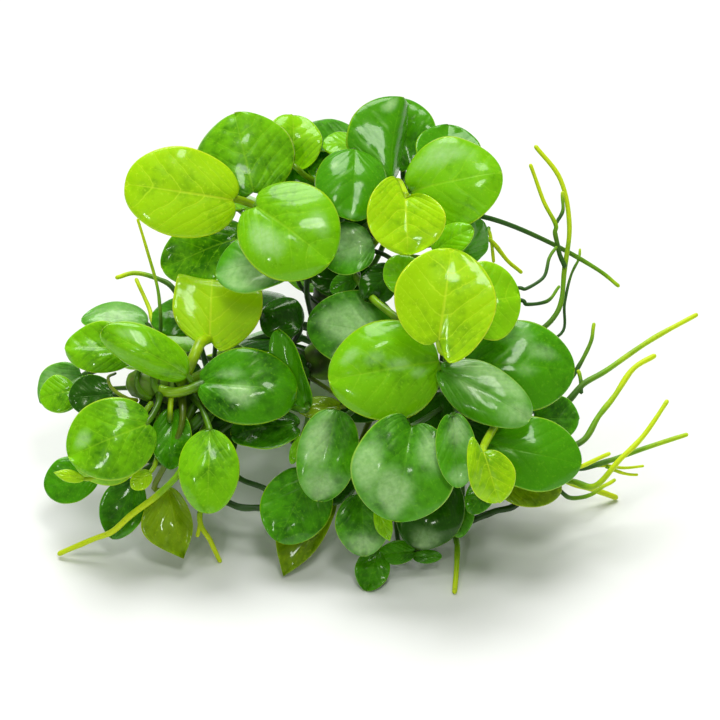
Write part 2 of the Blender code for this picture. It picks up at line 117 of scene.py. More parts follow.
def makeLights():
    world = bpy.data.worlds.new("studio")
    world.use_nodes = True
    colour, strength = lightSettings["world"]
    background = world.node_tree.nodes["Background"]
    background.inputs["Color"].default_value = (*colour, 1)
    background.inputs["Strength"].default_value = strength
    bpy.context.scene.world = world
    spot, wide, strength = lightSettings["key"]
    data = bpy.data.lights.new("key", "SUN")
    data.angle = math.radians(wide)
    data.energy = strength
    light = bpy.data.objects.new("key", data)
    bpy.context.scene.collection.objects.link(light)
    light.location = spot
    light.rotation_euler = (-Vector(spot)).to_track_quat("-Z", "Y").to_euler()
    for name, (spot, size, watts, colour) in lightSettings["panels"].items():
        data = bpy.data.lights.new(name, "AREA")
        data.shape = "DISK"
        data.size = size
        data.energy = watts
        data.color = colour
        light = bpy.data.objects.new(name, data)
        bpy.context.scene.collection.objects.link(light)
        light.location = spot
        aim = plantSettings["middle"] * mm - Vector(spot)
        light.rotation_euler = aim.to_track_quat("-Z", "Y").to_euler()


# finishes

def newMaterial(name):
    made = bpy.data.materials.new(name)
    made.use_nodes = True
    tree = made.node_tree
    return made, tree, tree.nodes["Principled BSDF"]


def mathNode(tree, operation, first, second=None, third=None, clamp=False):
    node = tree.nodes.new("ShaderNodeMath")
    node.operation = operation
    node.use_clamp = clamp
    for index, value in enumerate((first, second, third)):
        if value is None:
            continue
        if isinstance(value, (int, float)):
            node.inputs[index].default_value = value
        else:
            tree.links.new(value, node.inputs[index])
    return node.outputs[0]


def rangeNode(tree, value, low, high, outLow=0.0, outHigh=1.0):
    node = tree.nodes.new("ShaderNodeMapRange")
    node.interpolation_type = "SMOOTHSTEP"
    tree.links.new(value, node.inputs["Value"])
    for name, number in (("From Min", low), ("From Max", high), ("To Min", outLow), ("To Max", outHigh)):
        node.inputs[name].default_value = number
    return node.outputs["Result"]


def mixNode(tree, share, first, second):
    node = tree.nodes.new("ShaderNodeMix")
    node.data_type = "RGBA"
    for socket, value in ((0, share), (6, first), (7, second)):
        if isinstance(value, bpy.types.NodeSocket):
            tree.links.new(value, node.inputs[socket])
        elif isinstance(value, (int, float)):
            node.inputs[socket].default_value = value
        else:
            node.inputs[socket].default_value = (*value, 1)
    return node.outputs[2]


def noiseNode(tree, scale, detail=3.0, roughness=0.5):
    place = tree.nodes.new("ShaderNodeTexCoord")
    node = tree.nodes.new("ShaderNodeTexNoise")
    node.inputs["Scale"].default_value = scale
    node.inputs["Detail"].default_value = detail
    node.inputs["Roughness"].default_value = roughness
    tree.links.new(place.outputs["Object"], node.inputs["Vector"])
    return node.outputs["Fac"]


def attributeNode(tree, name):
    node = tree.nodes.new("ShaderNodeAttribute")
    node.attribute_name = name
    return node.outputs["Fac"]


# the finish's plain values, and fine relief from a height
def addFinish(tree, shader, finish, height, strength, depth):
    for name, value in finish.items():
        shader.inputs[name].default_value = value
    bump = tree.nodes.new("ShaderNodeBump")
    bump.inputs["Strength"].default_value = strength
    bump.inputs["Distance"].default_value = depth
    tree.links.new(height, bump.inputs["Height"])
    tree.links.new(bump.outputs["Normal"], shader.inputs["Normal"])


veinSettings = {
    "pairs": 4.2,       # side veins from base to tip
    "sweep": 0.95,      # how far toward the tip they run before they reach the edge
    "curve": 1.25,
}


# masks on a blade: its side veins, midrib, rim, the way between veins, and its two directions
def veinNodes(tree):
    uv = tree.nodes.new("ShaderNodeUVMap")
    uv.uv_map = "blade"
    parts = tree.nodes.new("ShaderNodeSeparateXYZ")
    tree.links.new(uv.outputs["UV"], parts.inputs[0])
    along = parts.outputs["Y"]
    side = mathNode(tree, "ABSOLUTE", mathNode(tree, "MULTIPLY_ADD", parts.outputs["X"], 2.0, -1.0))
    bend = mathNode(tree, "POWER", side, veinSettings["curve"])
    room = mathNode(tree, "MULTIPLY_ADD", along, -veinSettings["sweep"], veinSettings["sweep"] * 1.15)
    start = mathNode(tree, "SUBTRACT", along, mathNode(tree, "MULTIPLY", bend, room))
    wobble = mathNode(tree, "MULTIPLY_ADD", noiseNode(tree, 300), 0.7, -0.35)
    phase = mathNode(tree, "MULTIPLY_ADD", start, veinSettings["pairs"], wobble)
    apart = mathNode(tree, "PINGPONG", phase, 0.5)
    fading = mathNode(tree, "MULTIPLY_ADD", side, -0.045, 0.06)
    vein = mathNode(tree, "SUBTRACT", 1.0, mathNode(tree, "DIVIDE", apart, fading), clamp=True)
    midrib = rangeNode(tree, mathNode(tree, "MULTIPLY_ADD", along, 0.03, side), 0.055, 0.015)
    rimSide = rangeNode(tree, side, 0.955, 0.995)
    rimTip = rangeNode(tree, along, 0.985, 1.0)
    rim = mathNode(tree, "MAXIMUM", rimSide, rimTip)
    return vein, midrib, rim, apart, along, side


# shade: darker and lighter ground, vein, rim colour (painted light shining through the thin edge),
# see-through share, roughness, waxy bloom (which also raises the painted sheen)
bladeShades = {
    "young": ((0.15, 0.40, 0.001), (0.42, 0.76, 0.001), (0.66, 0.94, 0.03),
        (0.74, 0.94, 0.02), 0.25, 0.36, 0.0),
    "bright": ((0.06, 0.27, 0.001), (0.28, 0.66, 0.001), (0.48, 0.84, 0.02),
        (0.62, 0.90, 0.02), 0.22, 0.33, 0.0),
    "fresh": ((0.025, 0.16, 0.001), (0.20, 0.56, 0.001), (0.36, 0.72, 0.02),
        (0.54, 0.86, 0.02), 0.2, 0.30, 0.0),
    "deep": ((0.010, 0.085, 0.001), (0.07, 0.33, 0.001), (0.17, 0.50, 0.01),
        (0.38, 0.70, 0.01), 0.15, 0.26, 0.1),
    # dark: deep green darkened further as painted shade, for leaves deep in the clump
    "dark": ((0.003, 0.025, 0.001), (0.018, 0.10, 0.001), (0.05, 0.19, 0.004),
        (0.14, 0.34, 0.01), 0.1, 0.24, 0.1),
    # waxy: deep green with a real waxy bloom, which also lifts its painted sheen
    "waxy": ((0.012, 0.10, 0.001), (0.08, 0.36, 0.002), (0.16, 0.50, 0.01),
        (0.44, 0.76, 0.06), 0.15, 0.34, 1.0),
    "olive": ((0.04, 0.11, 0.001), (0.22, 0.38, 0.001), (0.40, 0.56, 0.01),
        (0.56, 0.68, 0.01), 0.15, 0.32, 0.0),
}


leafFinish = {
    # the sheen tone and share paint a pale reflection onto the blade, partly the leaf's waxy bloom
    "paintedSheenTone": (0.50, 0.78, 0.34),
    "paintedSheenShare": 0.75,
    "fleckShare": 0.4,
    "paintedEdgeGlowShare": 0.7,
    "veinShares": {"young": 0.65, "bright": 0.5, "fresh": 0.35},    # for the other shades 0.2
    "specular": (0.8, 1.0, 0.5, 1),
    "coat": 0.36,
    "coatUnder": 0.05,
    "throughRadius": (0.6, 1.0, 0.05),
    "throughDepth": 1.2 * mm,
    "bump": 0.5,
    "bumpDepth": 0.09 * mm,
}


def bladeMaterial(name, under):
    dark, light, veinTone, paintedEdgeGlow, through, roughness, waxy = bladeShades[name]
    made, tree, shader = newMaterial(name + (" leaf underside" if under else " leaf"))
    vein, midrib, rim, apart, along, side = veinNodes(tree)
    # clouded, darker round the base and lighter toward the rim, each leaf with its own tone
    reach = mathNode(tree, "MULTIPLY_ADD", noiseNode(tree, 150, 5, 0.62), 2.1, -1.1)
    reach = mathNode(tree, "MULTIPLY_ADD", noiseNode(tree, 900, 3), 0.9, reach)
    reach = mathNode(tree, "MULTIPLY_ADD", mathNode(tree, "MULTIPLY", side, side), 0.2, reach)
    reach = mathNode(tree, "MULTIPLY_ADD", along, 0.2, reach)
    reach = mathNode(tree, "MULTIPLY_ADD", attributeNode(tree, "tone"), 0.7, reach)
    ground = mixNode(tree, rangeNode(tree, reach, 0.1, 1.1), dark, light)
    flecks = rangeNode(tree, noiseNode(tree, 2300, 2), 0.58, 0.72)
    ground = mixNode(tree, mathNode(tree, "MULTIPLY", flecks, leafFinish["fleckShare"]), ground, veinTone)
    # painted sheen: pale patches of painted reflection, partly standing for the leaf's waxy bloom, in fixed
    # places on each leaf and broken up by the grain
    if not under:
        patches = mathNode(tree, "MULTIPLY_ADD", noiseNode(tree, 150, 5, 0.6), 1.1, -0.55 + 0.2 * waxy)
        patches = mathNode(tree, "ADD", patches, attributeNode(tree, "sheen"))
        paintedSheenStreaks = rangeNode(tree, noiseNode(tree, 1500, 4), 0.2, 0.8, 0.6, 1.0)
        sheen = mathNode(tree, "MULTIPLY", rangeNode(tree, patches, 0.25, 1.0), paintedSheenStreaks)
        sheen = mathNode(tree, "MULTIPLY", sheen, leafFinish["paintedSheenShare"])
        ground = mixNode(tree, sheen, ground, leafFinish["paintedSheenTone"])
    else:
        ground = mixNode(tree, 0.5, ground, tuple(channel * 0.8 + 0.03 for channel in light))
    veinShare = leafFinish["veinShares"].get(name, 0.2)
    ground = mixNode(tree, mathNode(tree, "MULTIPLY", vein, veinShare), ground, veinTone)
    ground = mixNode(tree, mathNode(tree, "MULTIPLY", midrib, veinShare), ground, veinTone)
    # the pale rim is painted light, as if lit through the thin edge
    ground = mixNode(tree, mathNode(tree, "MULTIPLY", rim, leafFinish["paintedEdgeGlowShare"]), ground, paintedEdgeGlow)
    tree.links.new(ground, shader.inputs["Base Color"])
    grain = mathNode(tree, "MULTIPLY_ADD", noiseNode(tree, 900, 3), 0.2, roughness - 0.1)
    if under:
        grain = mathNode(tree, "ADD", grain, 0.2)
    tree.links.new(grain, shader.inputs["Roughness"])
    finish = {
        "Specular IOR Level": 0.2 + 0.1 * waxy,
        "Specular Tint": leafFinish["specular"],
        "Subsurface Weight": through,
        "Subsurface Radius": leafFinish["throughRadius"],
        "Subsurface Scale": leafFinish["throughDepth"],
        "Coat Weight": leafFinish["coatUnder" if under else "coat"],
        "Coat Roughness": 0.07 + 0.05 * waxy,
    }
    height = mathNode(tree, "MULTIPLY", rangeNode(tree, apart, 0.0, 0.3), 0.7)
    height = mathNode(tree, "MULTIPLY_ADD", noiseNode(tree, 1300, 3), 0.3, height)
    height = mathNode(tree, "MULTIPLY_ADD", midrib, 0.5 if under else -0.5, height)
    addFinish(tree, shader, finish, height, leafFinish["bump"], leafFinish["bumpDepth"])
    return made


# tone of the stalk at its foot and where it meets the blade
stalkTones = {
    "young": ((0.06, 0.18, 0.002), (0.50, 0.76, 0.004)),
    "bright": ((0.05, 0.16, 0.002), (0.26, 0.50, 0.003)),
    "fresh": ((0.03, 0.10, 0.002), (0.13, 0.32, 0.003)),
    "deep": ((0.02, 0.07, 0.002), (0.06, 0.19, 0.003)),
    # dark: deep green darkened further as painted shade, for stalks and stems deep in the clump
    "dark": ((0.010, 0.035, 0.002), (0.02, 0.08, 0.002)),
    "waxy": ((0.02, 0.07, 0.002), (0.05, 0.17, 0.004)),
    "olive": ((0.04, 0.09, 0.002), (0.24, 0.34, 0.004)),
}


stalkFinish = {
    "Roughness": 0.34,
    "Specular IOR Level": 0.3,
    "Subsurface Weight": 0.25,
    "Subsurface Radius": (0.5, 1.0, 0.1),
    "Subsurface Scale": 0.8 * mm,
    "Coat Weight": 0.2,
    "Coat Roughness": 0.12,
}


# stalk, dark at its foot and paler where it meets the blade, with fine grain
def stalkMaterial(name, foot, top):
    made, tree, shader = newMaterial(name)
    upward = rangeNode(tree, attributeNode(tree, "upward"), 0.95, 0.35)
    ground = mixNode(tree, upward, foot, top)
    patches = rangeNode(tree, noiseNode(tree, 420, 4), 0.4, 0.7)
    ground = mixNode(tree, mathNode(tree, "MULTIPLY", patches, 0.4), ground, tuple(c * 0.5 for c in foot))
    tree.links.new(ground, shader.inputs["Base Color"])
    addFinish(tree, shader, stalkFinish, noiseNode(tree, 1400, 3), 0.4, 0.05 * mm)
    return made


rootTones = {
    "old": (0.035, 0.12, 0.012),
    "green": (0.21, 0.46, 0.002),
    "tip": (0.64, 0.80, 0.004),
    "speck": (0.06, 0.11, 0.02),
}


rootFinish = {
    "Roughness": 0.45,
    "Specular IOR Level": 0.3,
    "Subsurface Weight": 0.2,
    "Subsurface Radius": (0.6, 1.0, 0.1),
    "Subsurface Scale": 0.6 * mm,
}


# dark green where it is old, yellow-green and then yellow toward its tip
def rootMaterial():
    made, tree, shader = newMaterial("root")
    upward = attributeNode(tree, "upward")
    patches = noiseNode(tree, 380, 4)
    reach = mathNode(tree, "MULTIPLY_ADD", patches, 0.3, mathNode(tree, "SUBTRACT", upward, 0.15))
    reach = mathNode(tree, "SUBTRACT", reach, 0.35)
    reach = mathNode(tree, "MULTIPLY_ADD", attributeNode(tree, "tone"), 0.7, reach)
    ground = mixNode(tree, rangeNode(tree, reach, 0.3, 0.72), rootTones["old"], rootTones["green"])
    ground = mixNode(tree, rangeNode(tree, reach, 0.62, 0.92), ground, rootTones["tip"])
    specks = rangeNode(tree, noiseNode(tree, 1600, 3), 0.6, 0.75)
    ground = mixNode(tree, mathNode(tree, "MULTIPLY", specks, 0.3), ground, rootTones["speck"])
    tree.links.new(ground, shader.inputs["Base Color"])
    addFinish(tree, shader, rootFinish, noiseNode(tree, 1100, 4), 0.6, 0.08 * mm)
    return made


rhizomeTones = {
    "dark": (0.015, 0.05, 0.004),
    "light": (0.05, 0.12, 0.008),
    "growing": (0.16, 0.34, 0.01),
    "ring": (0.03, 0.03, 0.010),
    "speck": (0.16, 0.15, 0.05),
}


rhizomeFinish = {
    "Roughness": 0.45,
    "Specular IOR Level": 0.3,
    "Coat Weight": 0.1,
    "Coat Roughness": 0.2,
}


# green-brown creeping stem with darker rings where old leaves stood, greener toward its growing tip
def rhizomeMaterial():
    made, tree, shader = newMaterial("rhizome")
    ring = rangeNode(tree, attributeNode(tree, "scar"), 0.25, 0.9)
    patches = rangeNode(tree, noiseNode(tree, 300, 5), 0.35, 0.65)
    ground = mixNode(tree, patches, rhizomeTones["dark"], rhizomeTones["light"])
    growing = rangeNode(tree, attributeNode(tree, "upward"), 0.6, 0.95)
    ground = mixNode(tree, mathNode(tree, "MULTIPLY", growing, 0.8), ground, rhizomeTones["growing"])
    ground = mixNode(tree, mathNode(tree, "MULTIPLY", ring, 0.75), ground, rhizomeTones["ring"])
    specks = rangeNode(tree, noiseNode(tree, 1300, 4), 0.58, 0.72)
    ground = mixNode(tree, mathNode(tree, "MULTIPLY", specks, 0.5), ground, rhizomeTones["speck"])
    tree.links.new(ground, shader.inputs["Base Color"])
    addFinish(tree, shader, rhizomeFinish, noiseNode(tree, 900, 5), 0.7, 0.15 * mm)
    return made


def floorMaterial():
    made, tree, shader = newMaterial("pale floor")
    ground = mixNode(tree, noiseNode(tree, 6, 2), (0.9, 0.9, 0.9), (0.92, 0.92, 0.92))
    tree.links.new(ground, shader.inputs["Base Color"])
    shader.inputs["Roughness"].default_value = 0.8
    return made


def makeFloor():
    bm = bmesh.new()
    bmesh.ops.create_grid(bm, x_segments=2, y_segments=2, size=4)
    mesh = bpy.data.meshes.new("floor")
    bm.to_mesh(mesh)
    bm.free()
    mesh.materials.append(floorMaterial())
    floor = bpy.data.objects.new("floor", mesh)
    bpy.context.scene.collection.objects.link(floor)


pressedHeight = 0.04 * mm       # what would reach below the surface is pressed flat here


def finishedPiece(name, bm, looks, tone=0.5):
    toneLayer = bm.verts.layers.float.new("tone")
    for vert in bm.verts:
        vert[toneLayer] = tone
        vert.co.z = max(vert.co.z, pressedHeight)
    mesh = bpy.data.meshes.new(name)
    bm.to_mesh(mesh)
    bm.free()
    for look in looks:
        mesh.materials.append(look)
    mesh.shade_smooth()
    piece = bpy.data.objects.new(name, mesh)
    bpy.context.scene.collection.objects.link(piece)
    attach(piece, "root")
    return piece


# a closed tube along a path, its ends rounded, each ring marked with its share of the way
def addTube(bm, path, radii, sides, look, blunt=True):
    layer = bm.verts.layers.float.get("upward") or bm.verts.layers.float.new("upward")
    first = (path[1] - path[0]).normalized()
    last = (path[-1] - path[-2]).normalized()
    ends = 3 if blunt else 1
    # a few small rings round off each end
    front = [(path[0] - first * radii[0] * (1 - math.sin(a)) * 0.8, radii[0] * math.sin(a) + 1e-6)
             for a in (math.pi / 2 * k / ends for k in range(ends))]
    tail = [(path[-1] + last * radii[-1] * math.sin(a) * 1.2, radii[-1] * math.cos(a) + 1e-6)
            for a in (math.pi / 2 * k / ends for k in range(1, ends + 1))]
    rings = front + list(zip(path, radii)) + tail
    spots = [spot for spot, radius in rings]
    before = first
    aim = first.to_track_quat("Z", "Y").to_matrix().to_4x4()
    made = bmesh.ops.create_circle(
        bm, segments=sides, radius=rings[0][1], matrix=Matrix.Translation(spots[0]) @ aim)
    verts = made["verts"]
    for vert in verts:
        vert[layer] = 0.0
    everyVert = list(verts)
    edges = list({edge for vert in verts for edge in vert.link_edges})
    firstEdges = edges
    for index in range(1, len(rings)):
        spot, radius = rings[index]
        ahead = spots[min(index + 1, len(rings) - 1)] - spots[index - 1]
        ahead.normalize()
        grown = bmesh.ops.extrude_edge_only(bm, edges=edges)["geom"]
        verts = [item for item in grown if isinstance(item, bmesh.types.BMVert)]
        edges = [item for item in grown if isinstance(item, bmesh.types.BMEdge)]
        swing = before.rotation_difference(ahead).to_matrix().to_4x4()
        size = radius / rings[index - 1][1]
        back = Matrix.Translation(-spots[index - 1])
        move = Matrix.Translation(spot) @ swing @ Matrix.Scale(size, 4) @ back
        bmesh.ops.transform(bm, matrix=move, verts=verts)
        before = ahead
        for vert in verts:
            vert[layer] = index / (len(rings) - 1)
        everyVert += verts
    for rim in (firstEdges, edges):
        bmesh.ops.contextual_create(bm, geom=rim)
    faces = list({face for vert in everyVert for face in vert.link_faces})
    bmesh.ops.recalc_face_normals(bm, faces=faces)
    for face in faces:
        face.material_index = look
    return everyVert


bladeSettings = {
    "rows": 32,
    "columns": 28,
    "thickness": 0.42 * mm,
    "ribDepth": 0.08 * mm,
    "quilt": 0.05 * mm,
    "notchWidth": 0.13,
    "sides": 12,
}


def outline(v, blunt):
    share = v * v * (3 - 2 * v)
    return max(0.0, math.sin(math.pi * v**0.92)) ** (blunt[0] + (blunt[1] - blunt[0]) * share)


# where a blade lies, its directions, and what makes it its own leaf
def bladeForm(base, tip, width, lookUp, lookRight, cup, arch, extra=None):
    start, end = placed(base), placed(tip)
    along = (end - start).normalized()
    up, right = math.radians(lookUp), math.radians(lookRight)
    facing = turned(math.sin(right) * math.cos(up), math.sin(up), math.cos(right) * math.cos(up))
    normal = (facing - along * facing.dot(along)).normalized()
    form = {
        "base": start,
        "length": (end - start).length,
        "along": along,
        "normal": normal,
        "across": along.cross(normal),
        "half": width / 2 * mm,
        "cup": cup,             # how far the edges stand up, mm
        "arch": arch,           # how far the middle stands up, mm
        "blunt": (0.43, 0.5),   # shape of the base and of the tip, larger is more pointed
        "halves": (1.0, 1.0),   # share of the width on either side of the midrib
        "lobe": 0.03,           # depth of the two lobes beside the base, as a share of the length
        "uneven": 0.0,          # more lobe on one side than on the other
        "crease": 0.0,          # valley along the midrib, mm
        "wave": 0.5,            # waviness of the edge, mm
        "dents": 0.9,           # slow rise and fall of the whole blade, mm
        "twist": 0.0,           # mm
        "droop": 0.0,           # how far the tip hangs, mm
        "sweep": 0.0,           # sideways curve of the midrib, mm
        "roll": (0.0, 0.0),     # how far each side curls, mm
        "fold": (1.0, 0.0),     # where the tip folds over, and by how many degrees
        "slant": 0.0,           # how far the fold slopes toward the base on the +u side
        "bend": 1.1,            # radius of the fold, mm
        # the sheen patches are painted reflection, partly the leaf's waxy bloom
        "sheen": (),            # pale patches: u, v, their two radii, strength
        "seed": 1,
        "tone": 0.5,
    }
    form.update(extra or {})
    return form


def bladeMiddle(form, v):
    rise = form["arch"] * 4 * v * (1 - v) - form["droop"] * max(0.0, (v - 0.55) / 0.45) ** 2
    sweep = form["sweep"] * 4 * v * (1 - v)
    spot = form["base"] + form["along"] * form["length"] * v
    return spot + form["normal"] * rise * mm + form["across"] * sweep * mm


def bladePoint(form, u, v, shell):
    broad = outline(v, form["blunt"])
    wander = Vector((u * 0.8, v * 1.4, form["seed"] * 3.7))
    x = u * broad * (1 + 0.06 * noise.noise(wander * 1.6))
    beside = x * form["halves"][0 if u < 0 else 1]
    lobe = form["lobe"] * (1 + math.copysign(form["uneven"], u))
    notch = 1 - math.exp(-((abs(x) / bladeSettings["notchWidth"]) ** 1.6))
    behind = lobe * notch * (1 - v) ** 3 * form["length"]
    rise = form["cup"] * u * u * broad
    softened = math.hypot(x, 0.07) - 0.07
    rise += form["crease"] * min(1.0, softened / 0.4) ** 0.8 * (1 - v) ** 0.5
    rise += form["twist"] * x * (v - 0.4)
    rise += form["wave"] * abs(u) ** 3 * noise.noise(Vector((math.copysign(2.0, u), v * 3.2, form["seed"])))
    rise += form["dents"] * noise.noise(wander * 1.3)
    roll = form["roll"][0 if u < 0 else 1]
    rise += roll * max(0.0, (abs(u) - 0.25) / 0.75) ** 2 * broad
    rise *= mm
    rise -= bladeSettings["ribDepth"] * math.exp(-((x / 0.06) ** 2)) * (1 - v) ** 0.4
    start = v - veinSettings["sweep"] * (1.15 - v) * abs(u) ** veinSettings["curve"]
    swell = 0.5 - 0.5 * math.cos(math.tau * start * veinSettings["pairs"])
    rise += bladeSettings["quilt"] * swell * min(1.0, 4 * abs(u)) * (1 - abs(u) ** 4)
    thick = bladeSettings["thickness"] / 2 * math.sqrt(max(0.0, 1 - max(abs(u), abs(2 * v - 1)) ** 10))
    lift = rise + shell * thick
    foldStart, foldTurn = form["fold"]
    past = max(0.0, v - foldStart + form["slant"] * max(0.0, u)) * form["length"]
    spot = bladeMiddle(form, v - past / form["length"]) + form["across"] * beside * form["half"]
    if past > 0:
        # the tip turns down round a short bend
        bendRadius = form["bend"] * mm
        angle = min(past / bendRadius, math.radians(foldTurn))
        straight = past - angle * bendRadius
        reach = (bendRadius + lift) * math.sin(angle) + straight * math.cos(angle)
        drop = (bendRadius + lift) * math.cos(angle) - bendRadius - straight * math.sin(angle)
        return spot + form["along"] * reach + form["normal"] * drop
    return spot - form["along"] * behind + form["normal"] * lift


# how much painted sheen, a painted reflection, lies at a spot on the blade
def paintedSheenAt(form, u, v):
    found = 0.0
    for middleU, middleV, wideU, wideV, strength in form["sheen"]:
        apart = ((u - middleU) / wideU) ** 2 + ((v - middleV) / wideV) ** 2
        found = max(found, strength * math.exp(-apart))
    return found


def addBlade(bm, form):
    uvLayer = bm.loops.layers.uv.get("blade") or bm.loops.layers.uv.new("blade")
    # each vertex keeps its share of painted sheen
    paintedSheenLayer = bm.verts.layers.float.get("sheen") or bm.verts.layers.float.new("sheen")
    for shell in (1, -1):
        made = bmesh.ops.create_grid(
            bm, x_segments=bladeSettings["columns"], y_segments=bladeSettings["rows"], size=1.0)
        faces = list({face for vert in made["verts"] for face in vert.link_faces})
        # the grid's rows crowd toward base and tip, its columns toward the edges
        spread = {}
        for vert in made["verts"]:
            u = math.copysign(1 - (1 - abs(vert.co.x)) ** 1.4, vert.co.x)
            v = (1 - math.cos(math.pi * (vert.co.y + 1) / 2)) / 2
            spread[vert] = (u, min(1.0, max(0.0, v)))
        for face in faces:
            face.material_index = 0 if shell > 0 else 1
            for loop in face.loops:
                u, v = spread[loop.vert]
                loop[uvLayer].uv = (u / 2 + 0.5, v)
        for vert, (u, v) in spread.items():
            vert.co = bladePoint(form, u, v, shell)
            vert[paintedSheenLayer] = paintedSheenAt(form, u, v)
        if shell < 0:
            bmesh.ops.reverse_faces(bm, faces=faces)
    bmesh.ops.remove_doubles(bm, verts=bm.verts, dist=0.000004)


# a midrib under the blade that runs out into the stalk
def addStalk(bm, form, centres, radius):
    under = []
    for share, size in ((0.8, 0.16), (0.55, 0.28), (0.32, 0.42), (0.16, 0.6), (0.05, 0.85)):
        thin = radius * size
        spot = bladePoint(form, 0.0, share * form["fold"][0], -1)
        under.append((spot - form["normal"] * (thin * 0.6), thin))
    # the foot swells and runs on into the rhizome
    footRadius = radius * 1.5
    path = [spot for spot, thin in under] + centres
    radii = [thin for spot, thin in under] + [radius] * (len(centres) - 1) + [footRadius]
    into = (centres[-1] - centres[-2]).normalized()
    path.append(centres[-1] + into * mm)
    radii.append(footRadius * 1.1)
    steps = 4
    addTube(bm, smoothPath(path, steps), smoothValues(radii, steps), bladeSettings["sides"], 2)


# the middles of the CAD stalk's rings, found by walking over its mesh from the tip
def stalkCentres(node, tip):
    bm = bmesh.new()
    bm.from_mesh(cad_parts[node].data)
    bmesh.ops.remove_doubles(bm, verts=bm.verts, dist=0.00001)
    level = {min(bm.verts, key=lambda vert: (vert.co - tip).length)}
    seen = set(level)
    middles = []
    while level:
        beside = {edge.other_vert(vert) for vert in level for edge in vert.link_edges}
        level = beside - seen
        seen |= level
        if level:
            middles.append(sum((vert.co for vert in level), Vector()) / len(level))
    bm.free()
    bladeRings = 6
    return middles[bladeRings:]


